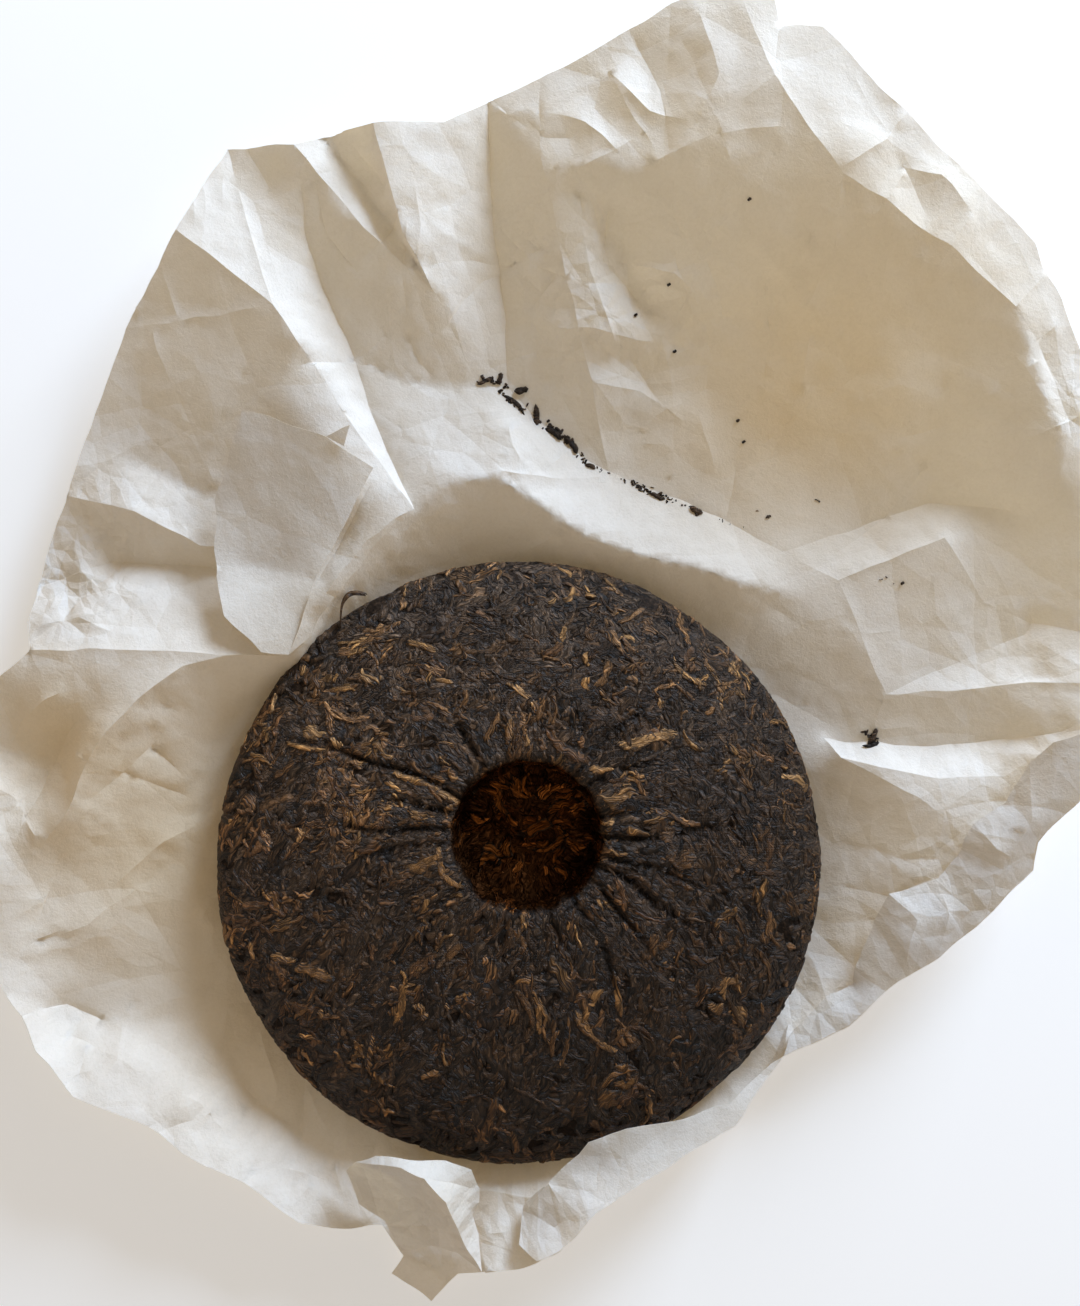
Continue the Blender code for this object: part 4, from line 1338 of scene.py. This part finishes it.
# ---- crumbs
# Runs of crumbs along the paper's valley: start, end, count, spread and size; millimetres.
CRUMB_RUNS = (
    ((-13, 161), (-3, 158), 16, 1.6, 1.0), ((-6, 157), (2, 150), 10, 1.0, 1.2),
    ((3, 152), (8, 144), 6, 0.8, 1.2), ((10, 146), (19, 138), 18, 1.0, 1.7),
    ((19, 136), (24, 132), 9, 1.0, 0.9), ((26, 131), (36, 127), 9, 0.8, 0.6),
    ((38, 126), (50, 121), 38, 1.3, 0.9), ((50, 121), (62, 116), 16, 0.8, 0.7),
    ((57, 118), (60, 116), 10, 0.9, 1.3), ((62, 116), (84, 108), 5, 0.6, 0.4),
    ((79, 117), (84, 115), 4, 1.0, 0.8), ((99, 121), (100, 120), 3, 0.5, 0.7),
    ((115, 44), (121, 38), 14, 1.0, 1.1), ((120, 95), (140, 92), 4, 1.5, 0.5),
)
CRUMB_SPOTS = ((77, 221), (39, 182), (50, 192), (52, 170), (73, 147), (75, 140), (118, 40), (128, 93))
# Bits of leaf among the crumbs: x, y, direction in degrees, length and thickness; millimetres.
CRUMB_STICKS = (
    (-11, 160, 25, 6, 1.3), (-6, 161, 80, 4, 1.6), (-1, 153, -42, 11, 1.3), (1, 157, 10, 5, 2.2),
    (6, 148, 88, 9, 1.9), (12, 143, -35, 7, 2.2), (18, 139, -52, 7, 1.9), (24, 132, -20, 4, 1.4),
    (59, 117, -30, 5, 2.0), (46, 122, -30, 5, 1.5), (118, 42, 65, 7, 1.6), (117, 39, 10, 6, 1.2),
)
CRUMB_SIDES = 7
CRUMB_STEPS = 6
CRUMB_TONES = ((0.040, 0.029, 0.020), (0.060, 0.038, 0.024), (0.105, 0.062, 0.034))


def crumb_rows():
    """Every crumb as x, y, direction, length and thickness; millimetres and radians."""
    rng = np.random.default_rng(SEED + 3)
    rows = [(x, y, math.radians(turn), length, width) for x, y, turn, length, width in CRUMB_STICKS]
    for start, end, count, spread, size in CRUMB_RUNS:
        for share in rng.uniform(0.0, 1.0, count):
            x = start[0] + share * (end[0] - start[0]) + rng.normal(0.0, 0.5 * spread)
            y = start[1] + share * (end[1] - start[1]) + rng.normal(0.0, 0.5 * spread)
            length = size * rng.uniform(0.7, 2.2)
            rows.append((x, y, rng.uniform(0.0, TURN), length, size * rng.uniform(0.4, 0.9)))
    return rows + [(x, y, 0.6, 1.5, 0.9) for x, y in CRUMB_SPOTS]


def crumb_form(rng, x, y, ground, turn, length, width):
    """Rings of points round one lumpy crumb that lies on the ground; millimetres."""
    share = np.linspace(0.0, 1.0, CRUMB_STEPS + 1)[:, None]
    angle = (np.arange(CRUMB_SIDES) * TURN / CRUMB_SIDES)[None, :]
    lumps = 1.0 + rng.uniform(-0.25, 0.25, (CRUMB_STEPS + 1, CRUMB_SIDES))
    thick = 0.5 * width * (1.05 - np.abs(2.0 * share - 1.0) ** 6) * lumps
    along = (share - 0.5) * length + 0.0 * angle
    across = thick * np.cos(angle) + rng.uniform(-0.12, 0.12) * length * (2.0 * share - 1.0) ** 2
    up = 0.75 * thick * np.sin(angle) + 0.32 * width
    return np.stack((x + along * math.cos(turn) - across * math.sin(turn),
                     y + along * math.sin(turn) + across * math.cos(turn), ground + up), -1)


def make_crumbs(cad_sheet, sheet, material):
    """Scatter the crumbs over the paper's valley as one joined piece."""
    rng = np.random.default_rng(SEED + 4)
    rings = CRUMB_STEPS + 1
    points = []
    tones = []
    for x, y, *form in crumb_rows():
        spot = plan_place(cad_sheet, x, y)
        ground = hit_from_above(sheet, *spot).z / MM
        points.append(crumb_form(rng, spot.x / MM, spot.y / MM, ground, *form))
        tone = leaf_tones(rng, CRUMB_TONES, 1, 0.25)[0]
        tones.append(np.broadcast_to(np.append(tone, 1.0), (rings, CRUMB_SIDES, 4)))
    quads = grid_quads(CRUMB_STEPS, CRUMB_SIDES, closed=True)[:, (0, 3, 2, 1)]
    faces = repeated(quads, len(points), rings * CRUMB_SIDES)
    points = np.array(points).reshape(-1, 3)
    piece = piece_from_arrays("tea_crumbs", points * MM, faces, material)
    store_looks(piece, tones, np.zeros(len(points)), np.full(len(points), 0.5), points)


# ---- stage, light and camera
EYE_DISTANCE = 0.400
VIEW_WIDTH = 0.3594
VIEW_MIDDLE = (0.0072, 0.0697)
HALF_FLOOR = 2.0
KEY_BEARING = math.radians(57.0)
KEY_ELEVATION = math.radians(18.0)
KEY_DISTANCE = 1.6
KEY_TARGET = Vector((0.0, 0.07, 0.0))
KEY_SIZE = 0.62
KEY_POWER = 39.0
KEY_COLOUR = (0.64, 0.81, 1.05)
SIDE_FILL = (0.82, 0.73, 0.63)
TOP_FILL = (0.25, 0.225, 0.195)


def make_floor():
    """A plain pale floor under the wrapper."""
    mesh = bpy.data.meshes.new("floor")
    corners = [(x * HALF_FLOOR, y * HALF_FLOOR, 0.0) for x, y in ((-1, -1), (1, -1), (1, 1), (-1, 1))]
    mesh.from_pydata(corners, [], [(0, 1, 2, 3)])
    mesh.materials.append(new_material("pale_floor", floor_surface))
    add_object("floor", mesh)


def make_camera():
    """Look straight down on the cake and its wrapper."""
    data = bpy.data.cameras.new("camera")
    data.sensor_fit = "HORIZONTAL"
    data.angle = 2.0 * math.atan(0.5 * VIEW_WIDTH / EYE_DISTANCE)
    data.clip_start = 0.01
    camera = add_object("camera", data)
    camera.location = (*VIEW_MIDDLE, CAKE_BASE + WAIST_HEIGHT + EYE_DISTANCE)
    bpy.context.scene.camera = camera


def make_lights():
    """A broad cool window light from the upper right and a warm fill, weaker from straight above."""
    data = bpy.data.lights.new("window", "AREA")
    data.size = KEY_SIZE
    data.energy = KEY_POWER
    data.color = KEY_COLOUR
    light = add_object("window", data)
    level = math.cos(KEY_ELEVATION)
    towards = Vector((level * math.cos(KEY_BEARING), level * math.sin(KEY_BEARING),
                      math.sin(KEY_ELEVATION)))
    light.location = KEY_TARGET + towards * KEY_DISTANCE
    light.rotation_euler = towards.to_track_quat("Z", "Y").to_euler()
    world = bpy.data.worlds.new("warm_fill")
    world.use_nodes = True
    tree = world.node_tree
    upward = add(tree, "SeparateXYZ", "Z", {"Vector": add(tree, "TexCoord", "Generated")})
    sky = add_ramp(tree, upward, (0.25, SIDE_FILL), (0.75, TOP_FILL))
    tree.links.new(sky, tree.nodes["Background"].inputs["Color"])
    bpy.context.scene.world = world


def main():
    """Make everything."""
    bpy.context.scene.view_settings.view_transform = "Standard"
    make_camera()
    make_lights()
    make_floor()
    leaf = new_material("dark_leaf", leaf_surface, False)
    make_cake(leaf)
    paper = new_material("cotton_paper", paper_surface)
    cad_sheet, sheet = make_wrapper(paper)
    make_crumbs(cad_sheet, sheet, leaf)
    for name, (outline, folds) in OVERLAPS.items():
        make_overlap(name, outline, folds, paper)


main()
